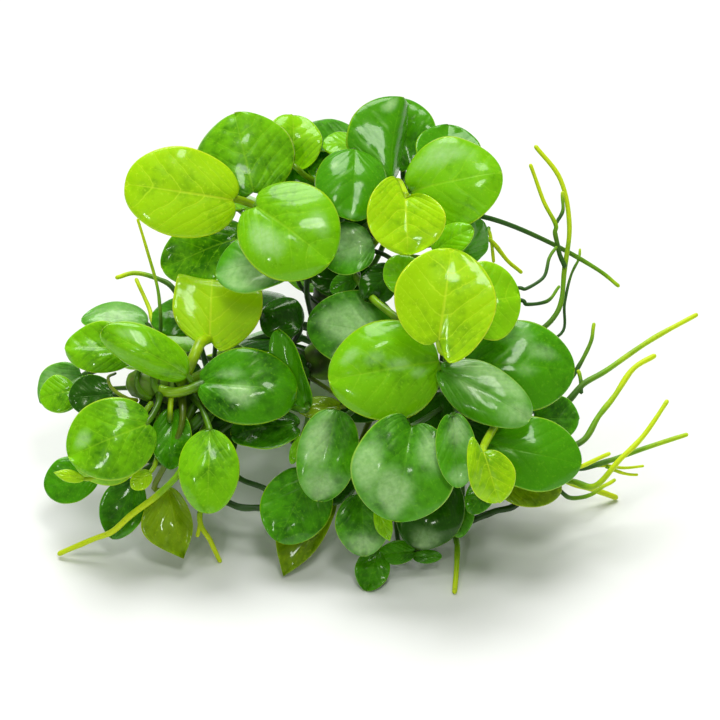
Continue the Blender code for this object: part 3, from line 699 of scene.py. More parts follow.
# name, base and tip of the blade, width, degrees it looks up and right, edge rise, arch, shade
leafTable = [
    ("leaf_top_1", (-19.2, 24.2, 6), (-35, 27, 7), 13.5, 5, -10, -0.6, 1.2, "young"),
    ("leaf_top_2", (-15.5, 25.8, 2), (-26.5, 32.5, -1), 12, 25, 0, -1.2, 1.0, "fresh"),
    ("leaf_top_3", (-10, 29.8, 0), (-10.3, 37.1, -3), 8.5, 20, 10, 0.4, 0.6, "bright"),
    ("leaf_top_4", (-1.5, 34.6, -8.5), (-9.2, 36.2, -7.5), 8.5, 68, 0, 0.3, 0.4, "fresh"),
    ("leaf_top_5", (-15.3, 22.8, 12.5), (-5, 14.5, 15), 13.5, 10, 0, -0.8, 1.4, "fresh"),
    ("leaf_top_6", (-0.8, 31.4, 4.5), (-1.5, 20.7, 9), 11, 5, 10, -0.8, 1.0, "deep"),
    ("leaf_top_7", (4.4, 28.2, 0.5), (5.3, 39.6, -1), 9.5, 5, 25, 2.0, 0.3, "fresh"),
    ("leaf_top_8", (6.4, 31, -6), (5.8, 40, -9), 9, 25, 0, 0.5, 0.8, "deep"),
    ("leaf_top_9", (13, 27, 3.5), (13.2, 35.3, 0), 10, 30, 10, 0.4, 0.8, "fresh"),
    ("leaf_top_10", (7, 25.5, 9.5), (21, 27.3, 10.5), 13.6, 15, 5, -0.6, 1.0, "fresh"),
    ("leaf_top_11", (6.3, 23.9, 17), (7, 15.2, 19.5), 11.4, 5, 0, 0.8, 0.8, "young"),
    ("leaf_left_1", (-10.2, 16, 9), (-21.3, 12, 8), 9, 30, 0, 0.4, 0.6, "fresh"),
    ("leaf_left_2", (-19.5, 17.5, 1), (-29.5, 13.8, 0), 9.5, 15, -10, -0.4, 0.8, "deep"),
    ("leaf_left_3", (-22.3, 3.2, 5), (-21.3, 12, 2.5), 13.6, 10, 0, 0.6, 0.6, "young"),
    ("leaf_left_4", (-25.8, -0.6, 11), (-37.8, 2.6, 12), 8.5, 0, -15, -1.0, 1.4, "fresh"),
    ("leaf_left_5", (-32.5, 6, -6), (-42, 7, -7), 8, 65, 0, 0.3, 0.5, "deep"),
    ("leaf_left_6", (-34, 0.8, 2.5), (-44, 1.6, 1), 7.8, 10, -15, -0.4, 0.8, "fresh"),
    ("leaf_left_7", (-42.6, -2.5, -3), (-48.2, -7.6, -4), 6.5, 10, -20, 0.3, 0.4, "deep"),
    ("leaf_left_8", (-36.8, -5, 5), (-43.3, -5.8, 4.5), 6.4, 10, -10, 0.3, 0.4, "dark"),
    ("leaf_left_9", (-31.5, -9.4, 13), (-42.6, -14.6, 13.5), 12, 0, -10, -0.8, 1.2, "fresh"),
    ("leaf_left_10", (-33, -12, 8.5), (-42.4, -15.2, 8.5), 10.5, 0, -10, -0.4, 0.6, "bright"),
    ("leaf_left_11", (-39.5, -17, 3.5), (-47.3, -19, 3), 7.4, 15, -20, 0.3, 0.6, "deep"),
    ("leaf_left_12", (-33.8, -17.8, 4.5), (-37.5, -26.6, 3.5), 7, 10, -10, 0.3, 0.6, "deep"),
    ("leaf_left_13", (-30.8, -19.8, 6), (-26.4, -29.4, 5.5), 6.2, 10, 0, 0.4, 0.6, "olive"),
    ("leaf_left_14", (-28, -8.5, 4.2), (-28.5, -17, 4.6), 5.6, 0, -5, 0.3, 0.5, "deep"),
    ("leaf_left_15", (-22, -10.1, 13), (-22.3, -22.5, 14), 9.2, 0, 0, -0.6, 1.2, "fresh"),
    ("leaf_left_16", (-23.4, -3.6, 9.5), (-9.7, -5, 10.5), 11.6, 10, 10, -0.8, 1.2, "deep"),
    ("leaf_middle_1", (2, 17.2, 6.5), (-5.8, 15.2, 6.5), 8.2, 15, -5, 0.4, 0.6, "deep"),
    ("leaf_middle_2", (1.6, 2, 8), (-7.7, 6.4, 7.5), 9.4, 15, -10, 0.4, 0.7, "deep"),
    ("leaf_middle_3", (-9, 5, 1.5), (-15, 7.6, 1), 6.6, 20, -10, 0.3, 0.4, "dark"),
    ("leaf_middle_4", (-8.3, -7, 13.5), (-12.3, 4.6, 14.5), 5.4, 10, -30, 1.0, 0.4, "deep"),
    ("leaf_middle_5", (11.3, -0.4, 14), (-4.4, -3.2, 16.5), 15, 5, -5, -0.8, 1.4, "bright"),
    ("leaf_middle_6", (-10, -10.6, 7), (-18, -12, 6), 6, 45, 0, 0.3, 0.5, "dark"),
    ("leaf_right_1", (14.6, 15, 7.5), (18.1, 20.8, 7), 6.6, 20, 55, 0.3, 0.4, "deep"),
    ("leaf_right_2", (11.6, 1, 21), (13.4, 16.3, 20), 14.8, 10, 5, 0.9, 0.8, "young"),
    ("leaf_right_3", (14.8, 8, 14.5), (23.9, 9.6, 14), 12, 5, 10, -0.4, 0.6, "bright"),
    ("leaf_right_4", (16, -0.6, 10.5), (31.7, -1.6, 10), 13.6, 10, 10, -0.8, 1.2, "deep"),
    ("leaf_right_5", (11.8, -1.4, 16), (25.5, -8.6, 16.5), 8, 5, 5, -0.6, 1.0, "fresh"),
    ("leaf_right_6", (19, -12.4, 12.5), (32.6, -15.4, 11.5), 11, 5, 5, -0.6, 1.0, "fresh"),
    ("leaf_right_7", (20, -17.8, 6.5), (30, -19.2, 6), 7, 5, 5, 0.3, 0.5, "olive"),
    ("leaf_front_1", (7.3, -9.4, 19), (5, -23.3, 18.5), 15.4, 5, 0, 0.9, 1.0, "fresh"),
    ("leaf_front_2", (-2.6, -9, 13.5), (-7.8, -20.9, 12), 9, 5, -5, 0.5, 0.8, "fresh"),
    ("leaf_front_3", (-7, -17.5, 8), (-12.3, -27.2, 8.5), 9.6, 5, -5, -0.5, 0.8, "deep"),
    ("leaf_front_4", (-4, -21.4, 4), (-11.4, -32.2, 5.2), 8, 5, -5, 0.3, 0.6, "olive"),
    ("leaf_front_5", (0.2, -20.5, 9.5), (0.6, -29, 9.5), 8, 5, 0, 0.4, 0.6, "deep"),
    ("leaf_front_6", (11.2, -18.4, 6.5), (8, -28, 7), 9.8, 5, 5, -0.5, 0.8, "dark"),
    ("leaf_front_7", (2.6, -28.4, 5.1), (1, -34.3, 7.0), 5.6, 5, 0, 0.3, 0.4, "deep"),
    ("leaf_front_8", (13.4, -8.2, 21.5), (14.3, -18.5, 20.8), 6, 5, 5, 0.4, 0.5, "fresh"),
    ("leaf_front_9", (17.5, -12.7, 24.6), (20, -20.6, 24), 7, 5, 5, 0.6, 0.5, "young"),
    ("leaf_back_1", (-18, 15, -8), (-27, 17, -20), 12, 80, -10, -0.4, 1.2, "fresh"),
    ("leaf_back_2", (-9, 20, -8), (-13, 24, -22), 13, 75, 0, -0.4, 1.2, "bright"),
    ("leaf_back_3", (5, 23, -9), (7, 26.5, -23), 13, 75, 0, -0.4, 1.2, "fresh"),
    ("leaf_back_4", (-14, 7, -14), (-22, 9, -27), 13, 60, 0, -0.4, 1.2, "deep"),
    ("leaf_back_5", (9, 8, -14), (15, 11, -28), 13, 60, 0, -0.4, 1.2, "bright"),
    ("leaf_back_6", (17, 0, -9), (26.5, -0.5, -21), 11, 60, 20, -0.4, 1.0, "deep"),
    ("leaf_back_7", (-26, 1, -7), (-36, 0.5, -18), 11, 60, -20, -0.4, 1.0, "fresh"),
]

# where the photo shows a leaf more exactly than its solid does, and what it has of its own
# the sheen entries place pale painted reflection, partly waxy bloom, on the blade
leafExtras = {
    "leaf_top_1": {"base": (-18.8, 23.7, 6), "tip": (-34.9, 26.1, 7), "width": 13.6, "lobe": 0.05,
        "wave": 0.4, "dents": 0.6, "blunt": (0.4, 0.42), "tone": 0.75},
    "leaf_top_2": {"base": (-15.9, 25.0, 3.4), "tip": (-18.8, 37.0, 1.0), "width": 15.0, "lookUp": 14,
        "roll": (-1.6, -0.4), "crease": -0.4, "tone": 0.2},
    "leaf_top_3": {"base": (-10.1, 28.8, -3.4), "tip": (-10.3, 37.1, -5.4), "width": 8.6, "crease": 0.5,
        "tone": 0.6, "blunt": (0.38, 0.4)},
    "leaf_top_4": {"base": (-0.4, 32.3, -8.5), "tip": (-9.2, 34.3, -7.5), "width": 9.5, "lookUp": 52,
        "shade": "waxy"},
    "leaf_top_5": {"base": (-15.3, 22.6, 12.5), "tip": (-4.3, 14.2, 15), "width": 15.2, "lobe": 0.09,
        "cup": -1.2, "arch": 1.6, "tone": 0.65,
        "sheen": ((0.45, 0.35, 0.35, 0.25, 0.9), (-0.5, 0.7, 0.3, 0.2, 0.7))},
    "leaf_top_6": {"roll": (-0.4, -1.0), "tone": 0.8,
        "sheen": ((0, 0.95, 0.6, 0.08, 0.7), (0.6, 0.3, 0.15, 0.08, 0.8))},
    "leaf_top_7": {"base": (4.6, 26.8, 2.5), "tip": (6.4, 39.5, -1), "width": 12, "halves": (1.1, 0.66),
        "lobe": 0.0, "cup": -2.2, "crease": -0.7, "blunt": (0.62, 0.42), "dents": 0.8, "tone": 0.9,
        "sweep": -0.9, "roll": (0.0, -1.2), "shade": "deep", "sheen": ((-0.35, 0.85, 0.25, 0.12, 1.0),)},
    "leaf_top_8": {"base": (7.6, 29, -4), "tip": (5.8, 39.6, -7), "width": 9.6, "tone": 0.5},
    "leaf_top_9": {"tone": 0.95, "shade": "deep"},
    "leaf_top_10": {"base": (7.6, 24.8, 9.5), "tip": (21, 27.5, 10.5), "width": 14, "lobe": 0.07,
        "cup": -1.1, "arch": 1.4, "tone": 0.8, "sheen": ((-0.65, 0.45, 0.35, 0.35, 0.8),)},
    "leaf_top_11": {"base": (6.6, 23.6, 17), "tip": (7, 15.2, 19), "width": 11.6, "lobe": 0.23,
        "uneven": 0.75, "crease": 0.9, "wave": 0.8, "tone": 0.7},
    "leaf_left_1": {"base": (-9.8, 14.6, 9), "tip": (-21.4, 12.8, 8), "width": 9.8, "tone": 0.7,
        "shade": "waxy", "sheen": ((-0.3, 0.6, 0.7, 0.4, 1.0),)},
    "leaf_left_2": {"base": (-17.4, 18.4, 1), "tip": (-29.8, 13.8, 0), "width": 10, "tone": 0.0,
        "shade": "fresh"},
    "leaf_left_3": {"base": (-22.4, 3.0, 5.2), "tip": (-21.9, 15.0, 2.6), "width": 14.0, "lobe": 0.12,
        "uneven": 0.4, "fold": (0.67, 140), "wave": 0.6, "dents": 0.6, "blunt": (0.5, 0.2), "tone": 1.1,
        "stalk": [(-23.6, 2.6, 7.2), (-24.4, 0.8, 8.6), (-25.4, -1.4, 8.6), (-26.4, -3.6, 7.2)],
        "stalkRadius": 0.85, "halves": (0.82, 1.12), "slant": 0.16},
    "leaf_left_4": {"base": (-25.4, -2.2, 9.6), "tip": (-38.0, 4.3, 12), "width": 6.6, "sweep": 0.6,
        "lobe": 0.0, "blunt": (0.36, 0.42), "roll": (-0.4, -0.8), "arch": 1.8, "tone": 0.5,
        "stalk": [(-25.0, -3.0, 9.2), (-25.0, -4.2, 8.2)], "sheen": ((0.4, 0.75, 0.4, 0.2, 0.6),)},
    "leaf_left_5": {"base": (-32.3, 5.4, -6), "tip": (-42.3, 6.2, -7), "lookUp": 50, "shade": "waxy",
        "sheen": ((0, 0.5, 1, 0.5, 0.6),)},
    "leaf_left_6": {"base": (-34, 1.8, 2.5), "tip": (-44.2, 1.8, 1), "width": 8.0, "tone": 0.35},
    "leaf_left_7": {"base": (-42.0, -2.2, -3), "tip": (-48.2, -6.6, -4), "width": 7.6, "shade": "waxy",
        "sheen": ((0, 0.5, 1, 0.6, 0.6),)},
    "leaf_left_9": {"base": (-31.0, -9.3, 13), "tip": (-42.8, -14.2, 13.5), "width": 12.2, "lobe": 0.05,
        "cup": -0.9, "tone": 0.35, "stalkRadius": 0.45, "sheen": ((0.3, 0.76, 0.3, 0.14, 0.8),)},
    "leaf_left_11": {"base": (-39.2, -17, 3.5), "tip": (-47.1, -19.2, 3)},
    "leaf_left_12": {"base": (-33.4, -17.8, 4.5), "tip": (-37.0, -26.7, 3.5), "blunt": (0.5, 0.6),
        "tone": 0.2},
    "leaf_left_13": {"base": (-28.6, -19.0, 6), "tip": (-26.2, -29.5, 5.5), "width": 8.4,
        "halves": (0.6, 1.2), "blunt": (0.5, 1.0), "crease": -0.6, "shade": "olive", "tone": 0.6},
    "leaf_left_14": {"base": (-27.6, -7.6, 8.6), "tip": (-28.0, -16.2, 9.2), "width": 6.0, "tone": 0.3,
        "blunt": (0.5, 0.6)},
    "leaf_left_15": {"blunt": (0.55, 0.46), "lobe": 0.0, "crease": -0.3, "tone": 0.45},
    "leaf_left_16": {"base": (-23.4, -3.4, 9.5), "tip": (-9.3, -4.8, 10.5), "blunt": (0.55, 0.42),
        "crease": 0.5, "arch": 1.6, "cup": -1.2, "tone": 0.2,
        "sheen": ((0.25, 0.43, 0.35, 0.22, 1.0), (-0.3, 0.3, 0.2, 0.2, 0.6))},
    "leaf_middle_1": {"shade": "waxy", "sheen": ((0.3, 0.4, 0.6, 0.35, 1.0),), "tone": 0.0},
    "leaf_middle_2": {"base": (5.2, 3.2, 7.6), "tip": (-7.8, 5.8, 6.8), "width": 11.6, "shade": "waxy",
        "tone": 0.0, "sheen": ((0.1, 0.62, 0.5, 0.3, 1.0),)},
    "leaf_middle_3": {"base": (-8.8, 5, 1.5), "tip": (-14.8, 7.4, 1), "width": 7, "dents": 1.6},
    "leaf_middle_4": {"base": (-7.8, -7, 7.6), "tip": (-12.3, 4.5, 8.6), "width": 5.4, "tone": 0.8},
    "leaf_middle_5": {"base": (11.6, -0.2, 14), "tip": (-4.6, -3.1, 16), "width": 14.8, "cup": -1.3,
        "arch": 1.8, "crease": 0.5, "tone": 0.75,
        "sheen": ((0.5, 0.78, 0.25, 0.12, 0.8), (0.25, 0.58, 0.22, 0.15, 0.8),
            (0.05, 0.38, 0.18, 0.15, 0.9), (-0.2, 0.2, 0.18, 0.12, 0.8)),
        "shade": "fresh"},
    "leaf_middle_6": {"base": (-9.4, -9.8, 7), "tip": (-19.2, -11.2, 6), "width": 8.2, "lookUp": 38,
        "shade": "deep", "tone": 0.1},
    "leaf_right_1": {"shade": "waxy", "tone": 0.9},
    "leaf_right_2": {"base": (11.4, 2.8, 21), "tip": (13.2, 16.2, 20), "width": 14.8, "lobe": 0.17,
        "uneven": 0.5, "wave": 0.4, "dents": 0.6, "tone": 0.5},
    "leaf_right_3": {"tip": (23.5, 9.4, 14), "tone": 0.8},
    "leaf_right_4": {"cup": -1.2, "arch": 1.6, "tone": 0.6,
        "sheen": ((-0.4, 0.7, 0.3, 0.2, 0.8), (0.1, 0.55, 0.2, 0.15, 0.5), (-0.7, 0.4, 0.3, 0.3, 0.6))},
    "leaf_right_5": {"tip": (24.9, -8.6, 16.5), "width": 8.6, "blunt": (0.7, 0.42), "tone": 0.6,
        "shade": "waxy",
        "sheen": ((-0.7, 0.5, 0.4, 0.4, 1.0), (0, 0.9, 0.8, 0.2, 0.8), (0.1, 0.4, 0.2, 0.2, 0.6))},
    "leaf_right_6": {"shade": "deep", "tone": 0.95, "dents": 0.5},
    "leaf_front_1": {"base": (7.5, -9.6, 18.6), "tip": (4.9, -23.5, 18.0), "width": 15.4, "lobe": 0.1,
        "uneven": 0.3, "cup": -1.1, "crease": 1.3, "arch": 1.7, "wave": 0.4, "shade": "waxy", "tone": 0.45,
        "sheen": ((0.15, 0.72, 0.4, 0.24, 1.1), (0.7, 0.5, 0.3, 0.35, 0.8), (-0.5, 0.22, 0.3, 0.2, 0.8))},
    "leaf_front_2": {"base": (-3.4, -7.3, 13.2), "tip": (-6.2, -20.8, 12), "width": 9.0, "cup": -0.5,
        "crease": 0.45, "shade": "waxy", "tone": 0.3,
        "sheen": ((0.4, 0.35, 0.5, 0.3, 0.9), (0, 0.85, 0.8, 0.2, 0.9)), "blunt": (0.4, 0.46), "lobe": 0.0},
    "leaf_front_3": {"base": (-7, -16.7, 8), "tip": (-12.2, -26.9, 8.5), "width": 10.6, "tone": 0.3},
    "leaf_front_4": {"base": (-4, -21.0, 4), "tip": (-11.4, -32.2, 5.2), "width": 8, "halves": (0.5, 1.25),
        "blunt": (0.5, 1.0), "crease": -0.5, "tone": 0.35},
    "leaf_front_5": {"base": (0.2, -19.8, 9.5), "shade": "waxy", "tone": 0.0,
        "sheen": ((0, 0.88, 0.9, 0.25, 0.9),)},
    "leaf_front_6": {"base": (12.2, -17.6, 6.5), "tip": (8, -27.9, 7), "width": 10.4, "shade": "dark",
        "tone": 0.8, "sheen": ((-0.3, 0.85, 0.8, 0.25, 0.7),)},
    "leaf_front_7": {"width": 5.2, "tone": 0.1},
    "leaf_front_8": {"shade": "waxy", "tone": 0.6,
        "sheen": ((-0.2, 0.2, 0.7, 0.25, 0.9), (0, 0.85, 0.8, 0.15, 0.6))},
    "leaf_front_9": {"base": (17.7, -13.2, 24.6), "tip": (20.0, -20.6, 23.6), "width": 6.8, "lobe": 0.2,
        "uneven": 0.9, "crease": 0.7, "wave": 0.6, "tone": 0.3},
}


def makeLeaf(name, form, centres, shade, looks, radius):
    bm = bmesh.new()
    addBlade(bm, form)
    addStalk(bm, form, centres, radius)
    finishes = [looks[shade], looks[shade + " under"], looks["stalk " + shade]]
    return finishedPiece(name, bm, finishes, form["tone"])


def makeLeaves(looks):
    dice = random.Random(5)
    for index, row in enumerate(leafTable):
        name, base, tip, width, lookUp, lookRight, cup, arch, shade = row
        centres = stalkCentres(name, placed(tip))
        extra = {
            "seed": index + 1,
            "twist": dice.uniform(-0.8, 0.8),
            "lobe": dice.uniform(0.0, 0.07),
            "tone": dice.uniform(0.2, 0.8),
        }
        extra.update(leafExtras.get(name, {}))
        base = extra.pop("base", base)
        tip = extra.pop("tip", tip)
        width = extra.pop("width", width)
        lookUp = extra.pop("lookUp", lookUp)
        shade = extra.pop("shade", shade)
        radius = extra.pop("stalkRadius", 0.6 if shade == "young" else 0.45) * mm
        if "stalk" in extra:
            centres = [placed(spot) for spot in extra.pop("stalk")] + centres[-1:]
        form = bladeForm(base, tip, width, lookUp, lookRight, cup, arch, extra)
        leaf = makeLeaf(name + "_finished", form, centres, shade, looks, radius)
        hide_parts(name)
    print("leaves made:", len(leafTable))


# young and small leaves: base, tip, width, degrees it looks up and right, where the stalk is rooted, shade,
# and what it has of its own
# the dark ones fill gaps deep in the clump, where their dark colour is partly painted shade
youngTable = [
    ((0.2, 32.4, -3), (-5.6, 32.4, -2.5), 6, 45, 0, (0.0, 23, -3.3), "fresh", {}),
    ((-42.8, -4.6, 1), (-48, -5.8, 0.5), 5.8, 10, -10, (-32, -4, 5), "fresh", {}),
    ((-31, -16.6, 10), (-33.7, -18.9, 10), 2.8, 0, 0, (-30, -6, 6), "young", {}),
    ((4.8, 13.6, 7.5), (0.6, 8.8, 8.5), 5.6, 10, 0, (-2.6, 18.2, -4.3), "dark", {"dents": 1.6}),
    ((8.2, 10.5, 13.5), (4.2, 14.8, 14), 6, 10, -10, (8, -3, -5), "fresh", {}),
    ((-3, -6.9, 7), (-9.4, -7.2, 7), 3.4, 10, 0, (-10, -1, -8), "olive", {"tone": 0.8}),
    ((10.8, 16, 12.5), (16.6, 19.4, 13.5), 5, 25, 0, (-1, 21, -3.7), "fresh", {}),
    ((26, -8.6, 5), (32.7, -8.8, 4), 7, 10, 20, (20, -8, 1), "waxy", {}),
    ((-4.5, 11, -20), (-6.5, 14, -32), 12, 70, 0, (-3.6, 0.8, -17), "fresh", {}),
    ((-10, 2.6, -24), (-18.5, 3.4, -32), 9, 65, -10, (-2.4, 1.2, -21), "deep", {}),
    ((12, 18.5, -8), (14, 21, -20), 10.5, 70, 10, (-1.8, 19.6, -4), "bright", {}),
    ((-18, 23, -7), (-24.5, 25.5, -18), 11, 70, 0, (-3.2, 16.2, -4.8), "fresh", {}),
    ((-0.6, 12.4, 3), (-4.4, 10.2, 3), 3.2, 10, 0, (-3, 14, -4.5), "waxy", {}),
    ((-40.6, -17.5, 12.4), (-45.0, -16.5, 13), 1.9, 0, 0, (-31, -7, 5.5), "young", {"blunt": (0.5, 1.0)}),
    ((15.4, -9.2, 5), (21.6, -12.6, 6), 5.5, 10, 0, (15, -6.6, -1.8), "dark", {}),
    ((19.4, -17.2, 8), (16.2, -22.7, 9), 4.4, 0, 0, (18, -8, 0), "deep", {"tone": 0.2}),
    ((2.6, -22.0, 10.6), (4.4, -26.7, 11), 2.6, 0, 0, (4, -4, -6), "bright", {"blunt": (0.5, 0.9)}),
    ((15.4, -20.3, 5), (14.6, -26.4, 6), 3.8, 5, 10, (14, -6, -3), "waxy", {}),
    ((8.1, -28.4, 5), (2.7, -28.9, 5.5), 3.6, 5, 0, (6, -4.5, -6.5), "deep", {"tone": 0.3}),
    ((8.0, -29.3, 4.6), (12.2, -29.2, 5), 2.1, 5, 0, (8, -5, -6), "deep", {"tone": 0.6}),
    ((-8.6, -11.3, 8), (-10.2, -15.4, 8), 1.9, 5, 0, (-8, -2, -8), "fresh", {}),
    ((-6, 24.5, -4), (-13.8, 28.6, -5), 8, 30, 0, (-2.4, 19, -4.4), "deep", {"tone": 0.5}),
    ((-0.6, 27, -5), (-8, 31.5, -6.5), 8, 40, 0, (0, 23.6, -3.2), "deep", {"tone": 0.4}),
    ((-9.6, 20.5, -1), (-16.2, 20.9, -3), 5.5, 20, 0, (-3, 17, -4.6), "deep", {"tone": 0.3}),
    ((3.0, 11.2, -2), (-7.4, 12.4, -3), 6.5, 15, 0, (-4, 10.4, -6.2), "dark", {}),
    ((-19.4, -9.4, 2), (-26.4, -14.6, 1), 9, 5, 0, (-18, -3.4, -1), "dark", {}),
    ((-27, -10.4, 3), (-33.6, -13.6, 1.5), 8, 10, 0, (-26, -5.2, 4), "dark", {}),
    ((13.0, -3.6, 5), (8.2, -10.2, 6), 7.5, 10, 0, (10, -4.4, -4), "dark", {"dents": 1.4}),
    ((5.4, -3.0, 4), (-3.0, -8.0, 5), 7.5, 10, 0, (4, -2.8, -6), "dark", {}),
    ((23, 0.4, 4), (28.6, 3.2, 3), 5, 15, 20, (17, -7, -1), "dark", {}),
    ((4.2, 18.8, 3), (10.5, 21.4, 2), 8, 20, 10, (-1.6, 20.6, -4), "dark", {}),
    ((1.8, 24.4, 2), (-3.2, 20.6, 2.6), 6.5, 20, 0, (-0.6, 22.2, -3.6), "dark", {}),
    ((-8.0, -0.8, -1), (-14.6, -2.6, 0), 7, 15, 0, (-9.6, -0.6, -8), "dark", {}),
    ((-23.5, 6.6, -3), (-31.6, 6.4, -5), 8, 35, -10, (-22, -4.4, 2), "deep", {"tone": 0.2}),
    ((9.6, -12.0, 6), (11.4, -20.6, 6), 7.5, 5, 0, (10, -4.4, -4), "dark", {}),
    ((-2.6, -13.0, 5), (-4.8, -21.6, 5), 7.5, 5, 0, (2, -2, -7), "dark", {}),
    ((22.0, -8.6, 5), (26.0, -15.6, 6), 7.0, 5, 0, (20, -8.6, 1), "dark", {}),
    ((-35.0, 4.0, -4), (-41.0, 4.6, -6), 6.0, 45, -10, (-32, -4, 6), "deep", {"tone": 0.2}),
    ((-24.6, -0.6, 3), (-32.6, -6.6, 3.6), 8.0, 10, 0, (-23, -4.6, 3), "dark", {}),
    ((-27.6, -4.2, 5), (-32.6, -10.6, 6), 6.0, 10, 0, (-27, -4.8, 4.4), "dark", {}),
]


def makeYoungLeaves(looks):
    for index, row in enumerate(youngTable):
        base, tip, width, lookUp, lookRight, rooted, shade, own = row
        arch = 0.05 * (Vector(tip) - Vector(base)).length
        extra = {"seed": 70 + index, "dents": 0.08 * width, "wave": 0.05 * width}
        extra.update(own)
        form = bladeForm(base, tip, width, lookUp, lookRight, -0.02 * width, arch, extra)
        start, end = bladeMiddle(form, 0.03), placed(rooted)
        reach = (end - start).length
        lead = start - form["along"] * (reach * 0.25) - form["normal"] * (reach * 0.2)
        draw = end.lerp(start, 0.3)
        centres = [bezier(start, lead, draw, end, step) for step in (0.15, 0.4, 0.7, 1.0)]
        makeLeaf(f"young_leaf_{index + 1}", form, centres, shade, looks, 0.36 * mm)
    print("young leaves made:", len(youngTable))


# stalks and stems without a blade of their own to be seen: thickness at both ends, shade, spots
stemTable = [
    (0.9, 0.8, "dark", [(-7.6, 14, 1), (-8.0, 10.5, 0), (-7.4, 7, -2), (-6.6, 3, -6)]),
    (0.7, 0.6, "dark", [(-9.6, 14, 0), (-9.2, 11.6, -1), (-7.8, 9.8, -3), (-5.6, 8, -6)]),
    (1.2, 1.0, "bright", [(6.6, 5.0, 12), (5.4, 6.2, 11.6), (2.0, 9.0, 9), (-1.0, 13.0, 2),
        (-3.0, 16.0, -3)]),
    (0.9, 0.8, "dark", [(-12.6, -19.8, 6), (-14.8, -18.8, 5.6), (-18.2, -17.4, 4.6), (-20.5, -14, 2),
        (-20, -6, -1)]),
    (1.1, 1.0, "dark", [(-12.2, -22.2, 5), (-15, -22.0, 4.8), (-18.8, -21.6, 4.4), (-23, -18, 3),
        (-22, -6, 0)]),
    (1.1, 0.9, "dark", [(14, -25.4, 3.6), (17, -23.8, 3.4), (20, -22.6, 3.4), (23.8, -21, 3.4),
        (25, -14, 2)]),
    (1.6, 1.5, "bright", [(-29.6, -4.4, 9), (-27.6, -4.8, 9.4), (-25.4, -4.4, 9.4), (-23.3, -3.6, 9.2)]),
    (0.8, 0.9, "young", [(-27.9, -5.6, 9), (-28.0, -7.2, 9.6), (-28.0, -8.8, 9.8)]),
    (1.7, 1.7, "deep", [(-20.4, -5.4, 6), (-22.4, -7.4, 7.4), (-24.4, -9.4, 7.8), (-25.8, -10.6, 7.4)]),
    (0.7, 0.4, "olive", [(-33, -6, 8), (-34.6, -5.6, 9), (-36.6, -4.2, 9.2), (-37.2, -2.6, 9),
        (-36.2, -2.0, 8.6)]),
    (0.9, 0.7, "fresh", [(-31, -5.6, 8), (-32.4, -4.6, 8.8), (-33, -3, 9), (-32.6, -1.6, 8.6)]),
    (1.0, 0.5, "bright", [(-30.8, -6.4, 8.8), (-31.6, -7.6, 9.4), (-31.8, -9.2, 9.6)]),
    (1.3, 0.6, "fresh", [(-29.4, -5.2, 8.8), (-30.4, -3.6, 9.6), (-30.8, -1.6, 9.6)]),
    (0.8, 0.4, "young", [(8.6, 35.6, -8), (9.4, 36.6, -7.6), (9.9, 37.4, -7.6)]),
    (1.2, 0.9, "young", [(6.7, 23.9, 15.6), (6.2, 25.2, 13), (5.6, 26.4, 9), (4, 26, 3), (0.6, 24.6, -2)]),
]


def makeStems(looks):
    for index, (thick, thin, shade, spots) in enumerate(stemTable):
        path = smoothPath([placed(spot) for spot in spots], 7)
        radii = []
        for step in range(len(path)):
            share = step / (len(path) - 1)
            knot = 1 + 0.1 * noise.noise(Vector((step * 0.3, index, 7)))
            radii.append((thick + (thin - thick) * share) / 2 * mm * knot)
        bm = bmesh.new()
        addTube(bm, path, radii, bladeSettings["sides"], 0)
        finishedPiece(f"stem_{index + 1}", bm, [looks["stalk " + shade]])
    print("stems made:", len(stemTable))


branchTable = {
    "rhizome_old_stem": (2.7, [(1, 2.2, -31), (-1.5, 1.5, -24), (-4, 0.6, -16), (-6, 0, -9)]),
    "rhizome_left_branch": (2.3, [(-9.2, -0.4, -9), (-16, -2.4, -3), (-24, -5, 3.5), (-32, -3.6, 6.5)]),
    "rhizome_right_branch": (2.3, [(-2.9, -0.5, -9), (5, -2.6, -6), (14, -5.5, -2), (24, -11, 3.5)]),
    "rhizome_top_branch": (2.1, [(-6, 3.2, -9), (-5, 10, -7), (-3, 17, -4.5), (0.8, 25, -3)]),
}

branchSettings = {
    "steps": 22,
    "ringSpacing": 1.7 * mm,
    "ringRise": 0.1,
    "lumps": 0.22 * mm,
    "sides": 28,
}


# the creeping stem: rings where old leaves stood, lumps, a blunt growing tip
def makeRhizome(look):
    for seed, (name, (radius, spots)) in enumerate(branchTable.items()):
        path = smoothPath([placed(spot) for spot in spots], branchSettings["steps"])
        travelled, radii, scars = 0.0, [], []
        for index, spot in enumerate(path):
            travelled += (spot - path[index - 1]).length if index else 0.0
            turnShare = travelled / branchSettings["ringSpacing"] % 1.0
            ridge = math.exp(-(((turnShare - 0.5) / 0.16) ** 2))
            swell = 1 + 0.05 * math.sin(travelled / mm * 0.9 + seed)
            radii.append(radius * mm * (swell + branchSettings["ringRise"] * ridge))
            scars.append(ridge)
        bm = bmesh.new()
        scarLayer = bm.verts.layers.float.new("scar")
        verts = addTube(bm, path, radii, branchSettings["sides"], 0)
        upward = bm.verts.layers.float["upward"]
        for vert in verts:
            step = min(len(scars) - 1, int(vert[upward] * (len(scars) - 1) + 0.5))
            vert[scarLayer] = scars[step]
            centre = path[step]
            outward = (vert.co - centre).normalized()
            lump = noise.noise(vert.co / mm * 0.45 + Vector((seed * 9.0, 0, 0)))
            vert.co += outward * branchSettings["lumps"] * lump
        piece = finishedPiece(name + "_finished", bm, [look])
        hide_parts(name)
    print("rhizome made")


